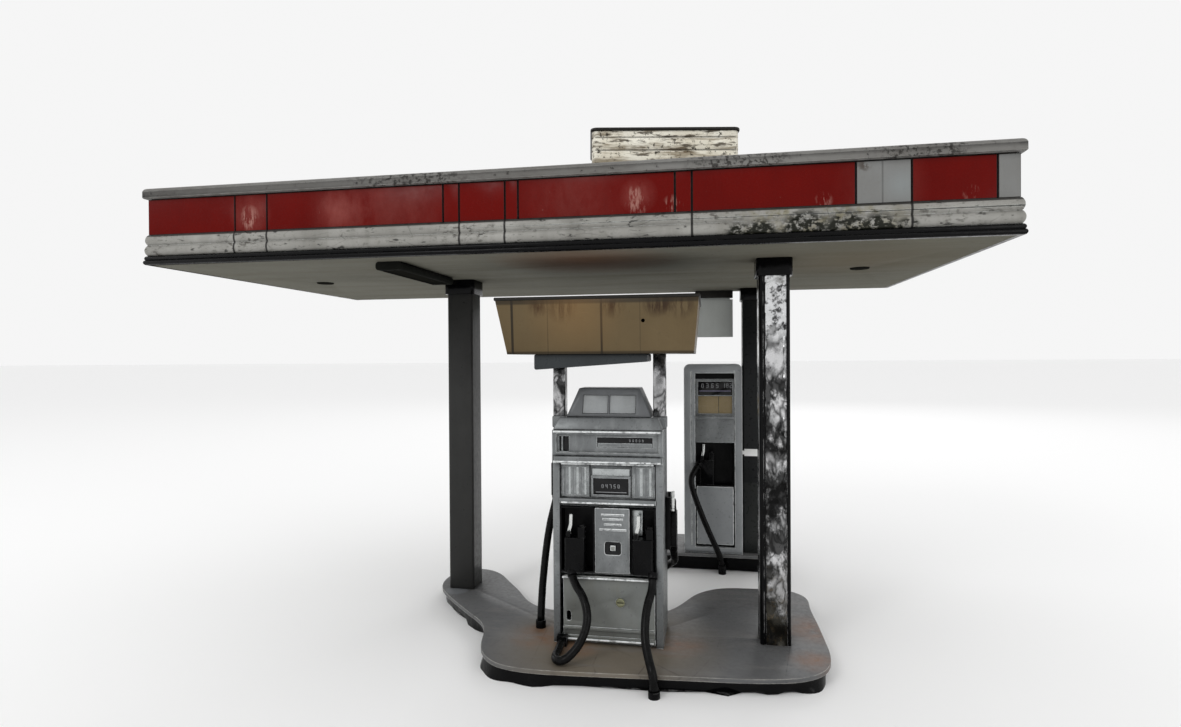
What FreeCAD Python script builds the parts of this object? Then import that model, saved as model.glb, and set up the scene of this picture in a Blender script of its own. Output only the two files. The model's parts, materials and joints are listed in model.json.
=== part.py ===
import FreeCAD, Part
import math
import os

# Scale model of a filling-station canopy: two islands, three columns, two fuel dispensers.
# Millimetres. +X runs along the canopy, +Y away from the front, +Z up.
# The origin is on the ground under the middle of the model's box.

V = FreeCAD.Vector
X_AXIS = V(1, 0, 0)
Y_AXIS = V(0, 1, 0)
Z_AXIS = V(0, 0, 1)

# Canopy, from the soffit upwards
CANOPY_HALF_W = 203.8
CANOPY_HALF_D = 102.6
CANOPY_Y = -8.0
SOFFIT_Z = 199.4
SOFFIT_T = 2.0
MOULDING_Z = 204.0
PANEL_Z = 214.7
COPING_Z = 233.0
COPING_TOP = 238.5
TRIM_OUT = 1.7
PANEL_T = 1.2
PANEL_GAP = 0.5
FRAME_T = 2.5
DECK_Z = 229.0
DECK_T = 1.5
RIB_T = 3.0

# Front fascia: where one panel meets the next, and which panels are blank
FRONT_SEAMS = (-203.8, -153.9, -136.2, -44.2, -36.3, -14.0, -7.7, 64.1, 71.5, 140.0, 162.1, 194.9, 203.8)
BLANK_FRONT_PANELS = (9, 11)
BACK_PANELS = 5
END_PANELS = 3

# Islands
FRONT_ISLAND_Z = 8.0
REAR_ISLAND_Z = 12.5
SLAB_T = 2.0
CURB_INSET = 1.0
REAR_ISLAND = (16.0, 122.0, 65.0, 116.3)
REAR_ISLAND_R = 9.0

# Columns: x, y, width, foot height, collar width
COLUMNS = {
    "left_column": (-72.7, -8.5, 16.0, FRONT_ISLAND_Z, 19.0),
    "front_right_column": (110.6, -61.8, 15.0, FRONT_ISLAND_Z, 17.6),
    "rear_right_column": (109.9, 80.0, 15.0, REAR_ISLAND_Z, 17.4),
}
COLUMN_R = 1.4
COLLAR_Z = 190.6

# Front dispenser
PUMP_X = 28.8
PUMP_FRONT_Y = -82.8
PUMP_HALF_W = 27.5
PUMP_D = 33.8
PUMP_H = 106.7
CAP_TOP = 112.7
TOPPER_TOP = 127.2
SHELL_T = 1.5
BAY_BOTTOM = 35.8
BAY_TOP = 68.4
HEAD_BOTTOM = 93.8
LEDGE_BOTTOM = 90.6

# Rear dispenser
REAR_X0 = 61.5
REAR_X1 = 101.9
REAR_FRONT_Y = 68.0
REAR_D = 26.0
REAR_TOP = 146.0

# Price sign on two posts over the front dispenser
SIGN_Y0 = -98.0
SIGN_Y1 = -36.0
SIGN_Z0 = 152.5
SIGN_Z1 = 180.0
SIGN_BOTTOM_X = (-17.9, 71.8)
SIGN_TOP_X = (-23.2, 74.2)
POST_W = 6.4
POST_Y = -68.0
POST_X = (2.2, 54.0)

# Roof housing
ROOF_BOX = (13.0, 91.0, -53.0, 1.0)
ROOF_BOX_TOP = 272.5
ROOF_BOX_TURN = 10.0
ROOF_BOX_TRIM = 1.6
BOARD_PITCH = 6.8
BOARD_COUNT = 5

# Fits
RUNNING = 0.06
CLEAR = 0.3
PIN_R = 0.5

# Screws that hold columns and dispensers to the islands
SCREW_R = 1.2
SCREW_HEAD_R = 2.6
SCREW_HEAD_H = 1.4
SCREW_BITE = 9.0

HOSE_R = 2.0

# Hose routes, from the nozzle's collar to the socket
HOSE_ROUTES = {
    "front_left": ((11.9, -86.2, 43.0), (13.2, -88.9, 40.3), (19.4, -95.3, 35.8), (22.4, -100.8, 27.2),
                   (19.4, -104.8, 18.2), (15.0, -107.6, 13.2), (11.6, -108.9, 11.0), (8.2, -107.2, 10.3),
                   (6.6, -102.8, 10.3), (6.9, -96.0, 10.4), (6.4, -87.2, 10.4)),
    "front_right": ((51.4, -86.4, 43.4), (51.5, -89.0, 39.6), (49.9, -93.2, 35.2), (48.9, -97.5, 29.8),
                    (48.8, -101.5, 23.9), (49.6, -105.0, 18.8), (51.2, -108.6, 14.4),
                    (52.9, -112.2, 11.0), (53.9, -113.6, 7.0), (54.0, -113.6, 3.0)),
    "side_left": ((-2.7, -58.0, 75.2), (-4.0, -58.1, 69.6), (-6.0, -58.3, 62.0), (-7.9, -59.0, 50.0),
                  (-9.1, -60.3, 37.0), (-9.9, -62.4, 24.0), (-9.7, -65.4, 12.0)),
    "side_right": ((59.9, -56.4, 50.4), (60.3, -53.4, 45.8), (60.2, -47.8, 41.2), (56.2, -42.6, 37.2),
                   (50.6, -40.4, 32.8), (45.8, -40.1, 26.8), (42.4, -39.8, 19.8), (41.6, -40.0, 12.0)),
    "rear": ((71.2, 64.3, 74.8), (68.7, 60.6, 71.8), (66.0, 57.6, 65.6), (68.2, 57.2, 56.8),
             (72.6, 57.7, 44.6), (77.6, 58.6, 32.0), (82.6, 60.0, 20.5), (86.2, 61.6, 12.2),
             (87.6, 62.6, 5.5)),
}


# ---------------------------------------------------------------- helpers

def box(x0, x1, y0, y1, z0, z1):
    return Part.makeBox(x1 - x0, y1 - y0, z1 - z0, V(x0, y0, z0))


def rod(start, end, radius):
    a, b = V(*start), V(*end)
    return Part.makeCylinder(radius, (b - a).Length, a, b - a)


def prism(corners, direction):
    """A closed polygon of 3-D corners, extruded along a vector."""
    points = [V(*corner) for corner in corners]
    face = Part.Face(Part.makePolygon(points + [points[0]]))
    return face.extrude(direction)


def frustum(low, high, z0, z1):
    """Loft between two rectangles, each given as x0, x1, y0, y1."""
    wires = []
    for (x0, x1, y0, y1), z in ((low, z0), (high, z1)):
        points = [V(x0, y0, z), V(x1, y0, z), V(x1, y1, z), V(x0, y1, z), V(x0, y0, z)]
        wires.append(Part.makePolygon(points))
    return Part.makeLoft(wires, True, True)


def rounded(shape, radius, axis):
    """Fillet the straight edges that run along an axis."""
    edges = []
    for edge in shape.Edges:
        if isinstance(edge.Curve, Part.Line) and abs(edge.Curve.Direction.dot(axis)) > 0.999:
            edges.append(edge)
    return shape.makeFillet(radius, edges)


def fused(shapes):
    return shapes[0].multiFuse(shapes[1:]).removeSplitter()


def cut_all(shape, tools):
    for tool in tools:
        shape = shape.cut(tool)
    return shape


def save(node, shapes):
    if not isinstance(shapes, (list, tuple)):
        shapes = [shapes]
    solids = [solid for shape in shapes for solid in shape.Solids]
    body = solids[0] if len(solids) == 1 else Part.makeCompound(solids)
    body.exportStep(os.path.join("parts", node + ".step"))
    volume = sum(solid.Volume for solid in solids)
    valid = all(solid.isValid() and solid.isClosed() for solid in solids)
    print(f"{node:26s} solids {len(solids):2d} volume {volume:10.1f} valid {valid}")


def section_face(outline, reach, x):
    """A fascia section: outline of (outward, height) points, a third item marks an arc's middle."""
    points = [V(x, -(reach + item[0]), item[1]) for item in outline]
    edges = []
    index = 0
    while index < len(outline):
        following = (index + 1) % len(outline)
        if len(outline[following]) == 3:
            end = (index + 2) % len(outline)
            edges.append(Part.Arc(points[index], points[following], points[end]).toShape())
            index += 2
        else:
            edges.append(Part.LineSegment(points[index], points[following]).toShape())
            index += 1
    return Part.Face(Part.Wire(edges))


def mitred_bars(outline):
    """Four bars of one section round the canopy, mitred at the corners."""
    bars = []
    reach_in = 12.0
    reach_out = 4.0
    for turn in (0, 90, 180, 270):
        across = turn in (0, 180)
        run = CANOPY_HALF_W if across else CANOPY_HALF_D
        reach = CANOPY_HALF_D if across else CANOPY_HALF_W
        long_bar = section_face(outline, reach, -(run + reach_out)).extrude(V(2 * (run + reach_out), 0, 0))
        low = min(item[1] for item in outline) - 1
        high = max(item[1] for item in outline) + 1
        wedge = prism(((-(run + reach_out), -(reach + reach_out), low), (run + reach_out, -(reach + reach_out), low),
                       (run - reach_in, -(reach - reach_in), low), (-(run - reach_in), -(reach - reach_in), low)),
                      V(0, 0, high - low))
        bar = long_bar.common(wedge)
        bar.rotate(V(0, 0, 0), Z_AXIS, turn)
        bar.translate(V(0, CANOPY_Y, 0))
        bars.append(bar)
    return bars


# ---------------------------------------------------------------- islands

def front_outline(inset=0.0):
    """Plan of the front island: a lobe for the left column, a waist, and a broad right end."""
    points = ((-84.6, -17.4), (-89.2, -2.0), (-86.2, 13.5), (-74.4, 22.6), (-60.5, 17.6), (-48.0, 2.0),
              (-36.5, -14.2), (-21.9, -34.5), (-8.4, -41.0), (14.0, -36.0), (34.0, -33.0), (50.0, -35.5),
              (61.9, -22.5), (71.6, -2.5), (86.0, 9.2), (108.0, 12.0), (126.5, 10.6), (133.6, 3.2),
              (134.8, -14.0), (135.2, -38.0), (135.4, -60.0), (134.7, -79.5), (130.4, -92.0), (122.0, -99.8),
              (108.0, -104.6), (88.0, -107.2), (61.2, -109.0), (37.3, -110.9), (10.5, -112.6), (-8.5, -112.4),
              (-20.4, -109.0), (-29.2, -101.0), (-34.2, -90.6), (-37.2, -78.0), (-42.2, -66.0), (-54.0, -52.6),
              (-70.0, -35.6))
    curve = Part.BSplineCurve()
    points = [V(x, y, 0) for x, y in points]
    curve.interpolate(points, PeriodicFlag=True)
    if inset:
        moved = []
        for point in points:
            along = curve.tangent(curve.parameter(point))[0]
            moved.append(point + V(-along.y, along.x, 0) * -inset)
        curve = Part.BSplineCurve()
        curve.interpolate(moved, PeriodicFlag=True)
    return Part.Face(Part.Wire([curve.toShape()]))


def rear_outline(z0, z1, inset):
    x0, x1, y0, y1 = REAR_ISLAND
    slab = box(x0 + inset, x1 - inset, y0 + inset, y1 - inset, z0, z1)
    return rounded(slab, REAR_ISLAND_R - inset, Z_AXIS)


def screw_places():
    """x, y and island height of each screw."""
    places = [(x, y, foot) for x, y, width, foot, collar in COLUMNS.values()]
    places += [(PUMP_X - 16, PUMP_FRONT_Y + 17, FRONT_ISLAND_Z), (PUMP_X + 16, PUMP_FRONT_Y + 17, FRONT_ISLAND_Z)]
    places += [(REAR_X0 + 10, REAR_FRONT_Y + 14, REAR_ISLAND_Z), (REAR_X1 - 10, REAR_FRONT_Y + 14, REAR_ISLAND_Z)]
    return places


def screw(x, y, foot):
    head = rod((x, y, 0.3), (x, y, 0.3 + SCREW_HEAD_H), SCREW_HEAD_R)
    slot = box(x - SCREW_HEAD_R, x + SCREW_HEAD_R, y - 0.3, y + 0.3, 0, 0.8)
    shank = rod((x, y, 0.3 + SCREW_HEAD_H), (x, y, foot + SCREW_BITE), SCREW_R)
    return fused([head.cut(slot), shank])


def screw_room(x, y, foot):
    """The hole and counterbore that a screw needs."""
    bore = rod((x, y, -1), (x, y, foot + SCREW_BITE + 0.4), SCREW_R + RUNNING)
    counterbore = rod((x, y, -1), (x, y, 0.3 + SCREW_HEAD_H), SCREW_HEAD_R + 0.2)
    return bore.fuse(counterbore)


def make_islands():
    rooms = [screw_room(*place) for place in screw_places()]
    front_slab = front_outline().extrude(V(0, 0, SLAB_T))
    front_slab.translate(V(0, 0, FRONT_ISLAND_Z - SLAB_T))
    front_curb = front_outline(CURB_INSET).extrude(V(0, 0, FRONT_ISLAND_Z - SLAB_T))
    rear_slab = rear_outline(REAR_ISLAND_Z - SLAB_T, REAR_ISLAND_Z, 0.0)
    rear_curb = rear_outline(0.0, REAR_ISLAND_Z - SLAB_T, 2.0)
    save("front_island_slab", cut_all(front_slab, rooms))
    save("front_island_curb", cut_all(front_curb, rooms))
    save("rear_island_slab", cut_all(rear_slab, rooms))
    save("rear_island_curb", cut_all(rear_curb, rooms))
    save("base_screws", [screw(*place) for place in screw_places()])
    return front_curb, rear_curb


def make_columns():
    collars = []
    rooms = [screw_room(*place) for place in screw_places()]
    for node, (x, y, width, foot, collar_width) in COLUMNS.items():
        half = width / 2
        column = rounded(box(x - half, x + half, y - half, y + half, foot, SOFFIT_Z), COLUMN_R, Z_AXIS)
        save(node, cut_all(column, rooms))
        half = collar_width / 2
        collar = rounded(box(x - half, x + half, y - half, y + half, COLLAR_Z, SOFFIT_Z), 2.4, Z_AXIS)
        collars.append(collar.cut(column))
    save("column_collars", collars)


# ---------------------------------------------------------------- canopy

def make_canopy_frame():
    """Four side boards and three long ribs, under the roof deck."""
    outer_w = CANOPY_HALF_W - PANEL_T
    outer_d = CANOPY_HALF_D - PANEL_T
    inner_w = outer_w - FRAME_T
    inner_d = outer_d - FRAME_T
    bottom = SOFFIT_Z + SOFFIT_T
    boards = [box(-outer_w, outer_w, CANOPY_Y - outer_d, CANOPY_Y - inner_d, bottom, COPING_Z),
              box(-outer_w, outer_w, CANOPY_Y + inner_d, CANOPY_Y + outer_d, bottom, COPING_Z)]
    for x0, x1 in ((-outer_w, -inner_w), (inner_w, outer_w)):
        boards.append(box(x0, x1, CANOPY_Y - inner_d, CANOPY_Y + inner_d, bottom, COPING_Z))
    for x, y, width, foot, collar in COLUMNS.values():
        boards.append(box(-inner_w, inner_w, y - RIB_T / 2, y + RIB_T / 2, bottom, DECK_Z))
    save("canopy_frame", boards)
    deck = box(-inner_w, inner_w, CANOPY_Y - inner_d, CANOPY_Y + inner_d, DECK_Z, DECK_Z + DECK_T)
    save("roof_deck", deck)


LAMP_PLACES = ((-161.0, -20.0), (161.0, -20.0))
LAMP_R = 5.0


def make_soffit():
    outer_w = CANOPY_HALF_W - PANEL_T
    outer_d = CANOPY_HALF_D - PANEL_T
    panel = box(-outer_w, outer_w, CANOPY_Y - outer_d, CANOPY_Y + outer_d, SOFFIT_Z, SOFFIT_Z + SOFFIT_T)
    lenses = []
    for x, y in LAMP_PLACES:
        panel = panel.cut(rod((x, y, SOFFIT_Z - 1), (x, y, SOFFIT_Z + SOFFIT_T + 1), LAMP_R))
        lenses.append(rod((x, y, SOFFIT_Z - 0.6), (x, y, SOFFIT_Z + 1.2), LAMP_R))
    save("soffit_panel", panel)
    lamp_x, lamp_half, y0, y1 = -79.0, 7.0, -97.0, -28.0
    housing = box(lamp_x - lamp_half, lamp_x + lamp_half, y0, y1, SOFFIT_Z - 4.2, SOFFIT_Z)
    housing = rounded(housing, 1.6, Y_AXIS)
    recess = box(lamp_x - lamp_half + 1.6, lamp_x + lamp_half - 1.6, y0 + 2, y1 - 2, SOFFIT_Z - 5, SOFFIT_Z - 2.6)
    tube = box(lamp_x - lamp_half + 1.6, lamp_x + lamp_half - 1.6, y0 + 2, y1 - 2, SOFFIT_Z - 3.7, SOFFIT_Z - 2.6)
    save("soffit_lamp_housing", housing.cut(recess))
    save("soffit_lamp_lenses", lenses + [tube])


def side_panels(turn, reach, seams):
    """Thin fascia panels of one side, with a dark gap at each seam."""
    panels = []
    for x0, x1 in zip(seams, seams[1:]):
        panel = box(x0 + PANEL_GAP / 2, x1 - PANEL_GAP / 2, -reach, -reach + PANEL_T, PANEL_Z, COPING_Z - 0.3)
        panel.rotate(V(0, 0, 0), Z_AXIS, turn)
        panel.translate(V(0, CANOPY_Y, 0))
        panels.append(panel)
    return panels


def even_seams(half, count):
    return [-half + 2 * half * index / count for index in range(count + 1)]


def make_fascia():
    front = side_panels(0, CANOPY_HALF_D, FRONT_SEAMS)
    back = side_panels(180, CANOPY_HALF_D, even_seams(CANOPY_HALF_W, BACK_PANELS))
    end_half = CANOPY_HALF_D - PANEL_T
    right = side_panels(90, CANOPY_HALF_W, even_seams(end_half, END_PANELS))
    left = side_panels(270, CANOPY_HALF_W, even_seams(end_half, END_PANELS))
    blank = [front[index] for index in BLANK_FRONT_PANELS]
    red = [panel for index, panel in enumerate(front) if index not in BLANK_FRONT_PANELS]
    save("red_fascia_panels", red + back + right + left)
    save("blank_fascia_panels", blank)
    coping = ((-4.0, COPING_Z), (TRIM_OUT - 0.5, COPING_Z), (TRIM_OUT, COPING_Z + 0.5), (TRIM_OUT, COPING_TOP - 2.0),
              (TRIM_OUT - 0.6, COPING_TOP - 0.6, True), (TRIM_OUT - 2.0, COPING_TOP), (-4.0, COPING_TOP))
    save("coping_rail", mitred_bars(coping))
    middle = (MOULDING_Z + PANEL_Z) / 2
    moulding = ((-PANEL_T, MOULDING_Z), (0.2, MOULDING_Z), (1.2, (MOULDING_Z + middle) / 2, True),
                (0.2, middle), (1.0, (PANEL_Z + middle) / 2, True), (0.0, PANEL_Z), (-PANEL_T, PANEL_Z))
    save("fascia_moulding", mitred_bars(moulding))
    drip = ((-PANEL_T, SOFFIT_Z), (TRIM_OUT - 0.7, SOFFIT_Z), (TRIM_OUT, SOFFIT_Z + 1.2, True),
            (TRIM_OUT - 0.7, SOFFIT_Z + 2.4), (1.3, SOFFIT_Z + 3.4, True), (0.2, MOULDING_Z), (-PANEL_T, MOULDING_Z))
    save("drip_trim", mitred_bars(drip))


def make_roof_housing():
    """A hollow boarded box, set slightly askew on the deck, with an edge trim on top."""
    x0, x1, y0, y1 = ROOF_BOX
    pivot = V((x0 + x1) / 2, (y0 + y1) / 2, 0)
    bottom = DECK_Z + DECK_T
    body_top = ROOF_BOX_TOP - ROOF_BOX_TRIM
    body = rounded(box(x0, x1, y0, y1, bottom, body_top), 3.0, Z_AXIS)
    inside = box(x0 + SHELL_T, x1 - SHELL_T, y0 + SHELL_T, y1 - SHELL_T, bottom - 1, body_top - 1.6)
    body = body.cut(inside)
    grooves = []
    for index in range(BOARD_COUNT):
        z = body_top - 4.0 - BOARD_PITCH * index
        ring = box(x0 - 1, x1 + 1, y0 - 1, y1 + 1, z, z + 0.8)
        grooves.append(ring.cut(box(x0 + 0.6, x1 - 0.6, y0 + 0.6, y1 - 0.6, z - 1, z + 2)))
    body = cut_all(body, grooves)
    body.rotate(pivot, Z_AXIS, ROOF_BOX_TURN)
    save("roof_housing", body)
    trim = rounded(box(x0 - 0.8, x1 + 0.8, y0 - 0.8, y1 + 0.8, body_top, ROOF_BOX_TOP), 3.6, Z_AXIS)
    trim.rotate(pivot, Z_AXIS, ROOF_BOX_TURN)
    save("roof_housing_trim", trim)


PANEL_X = (69.5, 96.5)
PANEL_Y = 89.0
PANEL_PIVOT_Z = 195.4
PANEL_BOTTOM = 165.5


def make_hanging_panel():
    """A plate on a barrel hinge, inside a channel under the soffit."""
    x0, x1 = PANEL_X
    rail = box(x0, x1, PANEL_Y - 3.0, PANEL_Y + 3.0, 194.0, SOFFIT_Z)
    rail = rail.cut(box(x0 + 1.5, x1 - 1.5, PANEL_Y - 2.1, PANEL_Y + 2.1, 190.0, 198.0))
    pin = rod((x0 + 1, PANEL_Y, PANEL_PIVOT_Z), (x1 - 1, PANEL_Y, PANEL_PIVOT_Z), 0.6)
    save("hanging_panel_rail", fused([rail, pin]))
    barrel = rod((x0 + 2, PANEL_Y, PANEL_PIVOT_Z), (x1 - 2, PANEL_Y, PANEL_PIVOT_Z), 1.3)
    neck = box(x0 + 2, x1 - 2, PANEL_Y - 0.5, PANEL_Y + 0.5, 192.0, PANEL_PIVOT_Z)
    plate = box(x0, x1, PANEL_Y - 0.6, PANEL_Y + 0.6, PANEL_BOTTOM, 193.0)
    hole = rod((x0, PANEL_Y, PANEL_PIVOT_Z), (x1, PANEL_Y, PANEL_PIVOT_Z), 0.6 + RUNNING)
    save("hanging_panel", fused([barrel, neck, plate]).cut(hole))


# ---------------------------------------------------------------- front dispenser

def pump_box(x0, x1, d0, d1, z0, z1):
    """Box in the dispenser's own terms: x from its middle, depth from its front, height from its foot."""
    return box(PUMP_X + x0, PUMP_X + x1, PUMP_FRONT_Y + d0, PUMP_FRONT_Y + d1,
               FRONT_ISLAND_Z + z0, FRONT_ISLAND_Z + z1)


def make_cabinet():
    shell = pump_box(-PUMP_HALF_W, PUMP_HALF_W, 3.0, PUMP_D, 0, PUMP_H)
    inner = PUMP_HALF_W - SHELL_T
    shell = shell.cut(pump_box(-inner, inner, 0, PUMP_D - SHELL_T, SHELL_T, PUMP_H - SHELL_T))
    sill = pump_box(-inner, inner, 3.0, 12.0, 34.4, BAY_BOTTOM)
    header = pump_box(-inner, inner, 3.0, 12.0, BAY_TOP, 70.0)
    rooms = [screw_room(*place) for place in screw_places()]
    bosses = []
    for x, y, foot in screw_places():
        if abs(x - PUMP_X) < PUMP_HALF_W and y < 0:
            bosses.append(rod((x, y, foot + SHELL_T), (x, y, foot + SCREW_BITE + 3), 3.0))
    save("front_cabinet", cut_all(fused([shell, sill, header] + bosses), rooms))
    uprights = []
    for side in (-1, 1):
        edges = sorted((side * 24.0, side * PUMP_HALF_W))
        upright = rounded(pump_box(edges[0], edges[1], 0, 3.0, 0, LEDGE_BOTTOM), 0.5, Z_AXIS)
        uprights.append(upright)
    save("front_uprights", uprights)


def make_shoulder_cap():
    x0, x1 = PUMP_X - PUMP_HALF_W, PUMP_X + PUMP_HALF_W
    y0, y1 = PUMP_FRONT_Y, PUMP_FRONT_Y + PUMP_D
    z0, z1 = FRONT_ISLAND_Z + PUMP_H, FRONT_ISLAND_Z + CAP_TOP
    cap = frustum((x0, x1, y0, y1), (x0 + 2.4, x1 - 2.4, y0 + 3.4, y1 - 2.0), z0, z1)
    lugs = []
    for x in POST_X:
        lugs.append(box(x - POST_W / 2 - 0.4, x + POST_W / 2 + 0.4, POST_Y - 4, POST_Y + 4, z0, z1))
    save("front_shoulder_cap", fused([cap] + lugs))


def topper_solid(inset):
    """The topper's tapered hood, pulled in evenly by an inset."""
    low = (PUMP_X - 21.5 + inset, PUMP_X + 21.5 - inset, PUMP_FRONT_Y + 5.5 + inset, PUMP_FRONT_Y + 28 - inset)
    high = (PUMP_X - 15.5 + inset, PUMP_X + 15.5 - inset, PUMP_FRONT_Y + 9.5 + inset, PUMP_FRONT_Y + 24 - inset)
    z0 = FRONT_ISLAND_Z + CAP_TOP
    return frustum(low, high, z0, FRONT_ISLAND_Z + TOPPER_TOP - inset)


WINDOW_Z = (114.6, 123.6)
WINDOW_PANES = ((-13.2, -0.5), (0.5, 13.6))


def make_topper():
    shell = topper_solid(0.0).cut(topper_solid(1.3))
    panes = []
    skin = topper_solid(0.5).cut(topper_solid(1.3))
    for x0, x1 in WINDOW_PANES:
        opening = pump_box(x0, x1, 0, 12, *WINDOW_Z)
        shell = shell.cut(opening)
        panes.append(skin.common(opening))
    save("topper_shell", shell)
    save("topper_windows", panes)


DISPLAY_X = (-5.0, 22.6)
DISPLAY_Z = (98.2, 103.2)
SLOTS = ((-24.2, -23.0), (-22.3, -19.2))
MONEY_DISPLAY = (-7.2, 10.6, 74.6, 82.8)


def make_meter_head():
    """The head's bezel with its windows, the drip ledge below it, and the recessed middle section."""
    head = pump_box(-PUMP_HALF_W, PUMP_HALF_W, -0.8, 3.0, HEAD_BOTTOM, PUMP_H)
    head = rounded(head, 0.8, X_AXIS)
    head = head.cut(pump_box(-25.4, 25.6, -2, 0.6, 95.6, 104.8))
    ledge = pump_box(-26.2, 26.4, -2.4, 1.0, LEDGE_BOTTOM, HEAD_BOTTOM)
    backing = pump_box(-PUMP_HALF_W, PUMP_HALF_W, 0, 3.0, LEDGE_BOTTOM, HEAD_BOTTOM)
    head = fused([head, backing, rounded(ledge, 0.7, X_AXIS)])
    windows = [pump_box(DISPLAY_X[0], DISPLAY_X[1], -2, 1.6, *DISPLAY_Z)]
    glass = [pump_box(DISPLAY_X[0], DISPLAY_X[1], 1.2, 1.6, *DISPLAY_Z)]
    for x0, x1 in SLOTS:
        windows.append(pump_box(x0, x1, -2, 2.0, 96.0, 103.6))
        glass.append(pump_box(x0, x1, 1.7, 2.0, 96.0, 103.6))
    head = cut_all(head, windows)
    middle = pump_box(-24.0, 24.0, 2.6, 4.2, 70.0, LEDGE_BOTTOM)
    ledge = rounded(pump_box(-24.0, 24.0, -0.4, 4.2, 70.0, 72.6), 0.5, X_AXIS)
    x0, x1, z0, z1 = MONEY_DISPLAY
    rim = rounded(pump_box(x0 - 1.0, x1 + 1.0, 1.2, 2.8, z0 - 1.0, z1 + 1.0), 0.3, Z_AXIS)
    middle = fused([middle, ledge, rim]).cut(pump_box(x0, x1, 0, 2.4, z0, z1))
    glass.append(pump_box(x0, x1, 2.0, 2.4, z0, z1))
    save("meter_bezels", [head, middle])
    return glass


FLUTED = ((-23.2, -9.2), (12.4, 23.4))


def make_fluted_panels():
    panels = []
    for x0, x1 in FLUTED:
        panel = pump_box(x0, x1, 1.4, 2.6, 73.4, 89.0)
        flutes = 3
        step = (x1 - x0) / flutes
        for index in range(flutes):
            left = x0 + step * index + 0.9
            panel = panel.cut(pump_box(left, left + step - 1.8, 0, 2.0, 75.6, 88.2))
        panels.append(panel)
    save("fluted_panels", panels)


BAYS = ((-23.9, -6.6), (11.4, 23.9))
BOOT_T = 0.8
BOOT_DEPTH = 9.0


def front_boot(x0, x1):
    """An open-fronted pocket."""
    outer = pump_box(x0, x1, 0.2, BOOT_DEPTH, BAY_BOTTOM, BAY_TOP)
    hollow = pump_box(x0 + BOOT_T, x1 - BOOT_T, -1, BOOT_DEPTH - BOOT_T, BAY_BOTTOM + BOOT_T, BAY_TOP - BOOT_T)
    return outer.cut(hollow)


def side_boot(side, z0, z1):
    """A thin pocket plate on the cabinet's side, with a lip along each edge."""
    face = PUMP_X + side * PUMP_HALF_W
    xs = sorted((face, face + side * 0.8))
    plate = box(xs[0], xs[1], -65.6, -50.4, z0, z1)
    xs = sorted((face, face + side * 2.6))
    lips = [box(xs[0], xs[1], y, y + 1.0, z0, z1) for y in (-65.6, -51.4)]
    return fused([plate] + lips)


SIDE_NOZZLE_Z = {-1: 77.6, 1: 53.0}


def make_boots():
    boots = [front_boot(x0, x1) for x0, x1 in BAYS]
    for side, z in SIDE_NOZZLE_Z.items():
        boots.append(side_boot(side, z - 1.0, z + 26.0))
    save("nozzle_boots", boots)


BUTTON_X = 2.7
BUTTON_Z = 48.4
BUTTON_HALF = 1.3


def make_centre_panel():
    panel = rounded(pump_box(-6.2, 11.0, 0, 2.6, BAY_BOTTOM + 0.2, BAY_TOP - 0.2), 0.5, Y_AXIS)
    window = pump_box(BUTTON_X - 4.1, BUTTON_X + 4.1, -1, 1.0, BUTTON_Z - 3.2, BUTTON_Z + 3.2)
    panel = panel.cut(rounded(window, 1.2, Y_AXIS))
    reach = BUTTON_HALF + 0.2
    panel = panel.cut(pump_box(BUTTON_X - reach, BUTTON_X + reach, 0, 3, BUTTON_Z - reach, BUTTON_Z + reach))
    bars = []
    for z, width in ((64.6, 5.6), (62.4, 5.0), (59.8, 4.2), (57.2, 6.6)):
        bars.append(pump_box(BUTTON_X - width, BUTTON_X + width, -0.35, 0.2, z, z + 0.7))
    save("centre_panel", fused([panel] + bars))
    button = pump_box(BUTTON_X - BUTTON_HALF, BUTTON_X + BUTTON_HALF, 0.2, 2.2,
                      BUTTON_Z - BUTTON_HALF, BUTTON_Z + BUTTON_HALF)
    save("grade_button", rounded(button, 0.35, Y_AXIS))


LOCK_X = 6.3
LOCK_Z = 21.7
LOCK_R = 2.2


def make_service_door():
    door = rounded(pump_box(-22.4, 23.4, 0.2, 2.4, 4.4, 34.0), 0.8, Y_AXIS)
    ledge = rounded(pump_box(-22.4, 23.4, -0.9, 1.0, 7.4, 8.8), 0.4, X_AXIS)
    foot = rounded(pump_box(-23.6, 23.6, -0.5, 3.0, 1.6, 4.4), 0.5, X_AXIS)
    door = fused([door, ledge])
    lock_hole = rod((PUMP_X + LOCK_X, PUMP_FRONT_Y - 2, FRONT_ISLAND_Z + LOCK_Z),
                    (PUMP_X + LOCK_X, PUMP_FRONT_Y + 4, FRONT_ISLAND_Z + LOCK_Z), LOCK_R + RUNNING)
    finger = rounded(pump_box(-20.9, -18.5, -1, 4, 11.4, 16.4), 1.1, Y_AXIS)
    save("front_service_door", fused([cut_all(door, [lock_hole, finger]), foot]))
    barrel = rod((PUMP_X + LOCK_X, PUMP_FRONT_Y - 0.3, FRONT_ISLAND_Z + LOCK_Z),
                 (PUMP_X + LOCK_X, PUMP_FRONT_Y + 2.8, FRONT_ISLAND_Z + LOCK_Z), LOCK_R)
    cam = pump_box(LOCK_X - 0.9, LOCK_X + 5.0, 2.8, 3.6, LOCK_Z - 0.9, LOCK_Z + 0.9)
    slot = pump_box(LOCK_X - 1.5, LOCK_X + 1.5, -1, 0.3, LOCK_Z - 0.25, LOCK_Z + 0.25)
    save("door_lock", fused([barrel, cam]).cut(slot))


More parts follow.
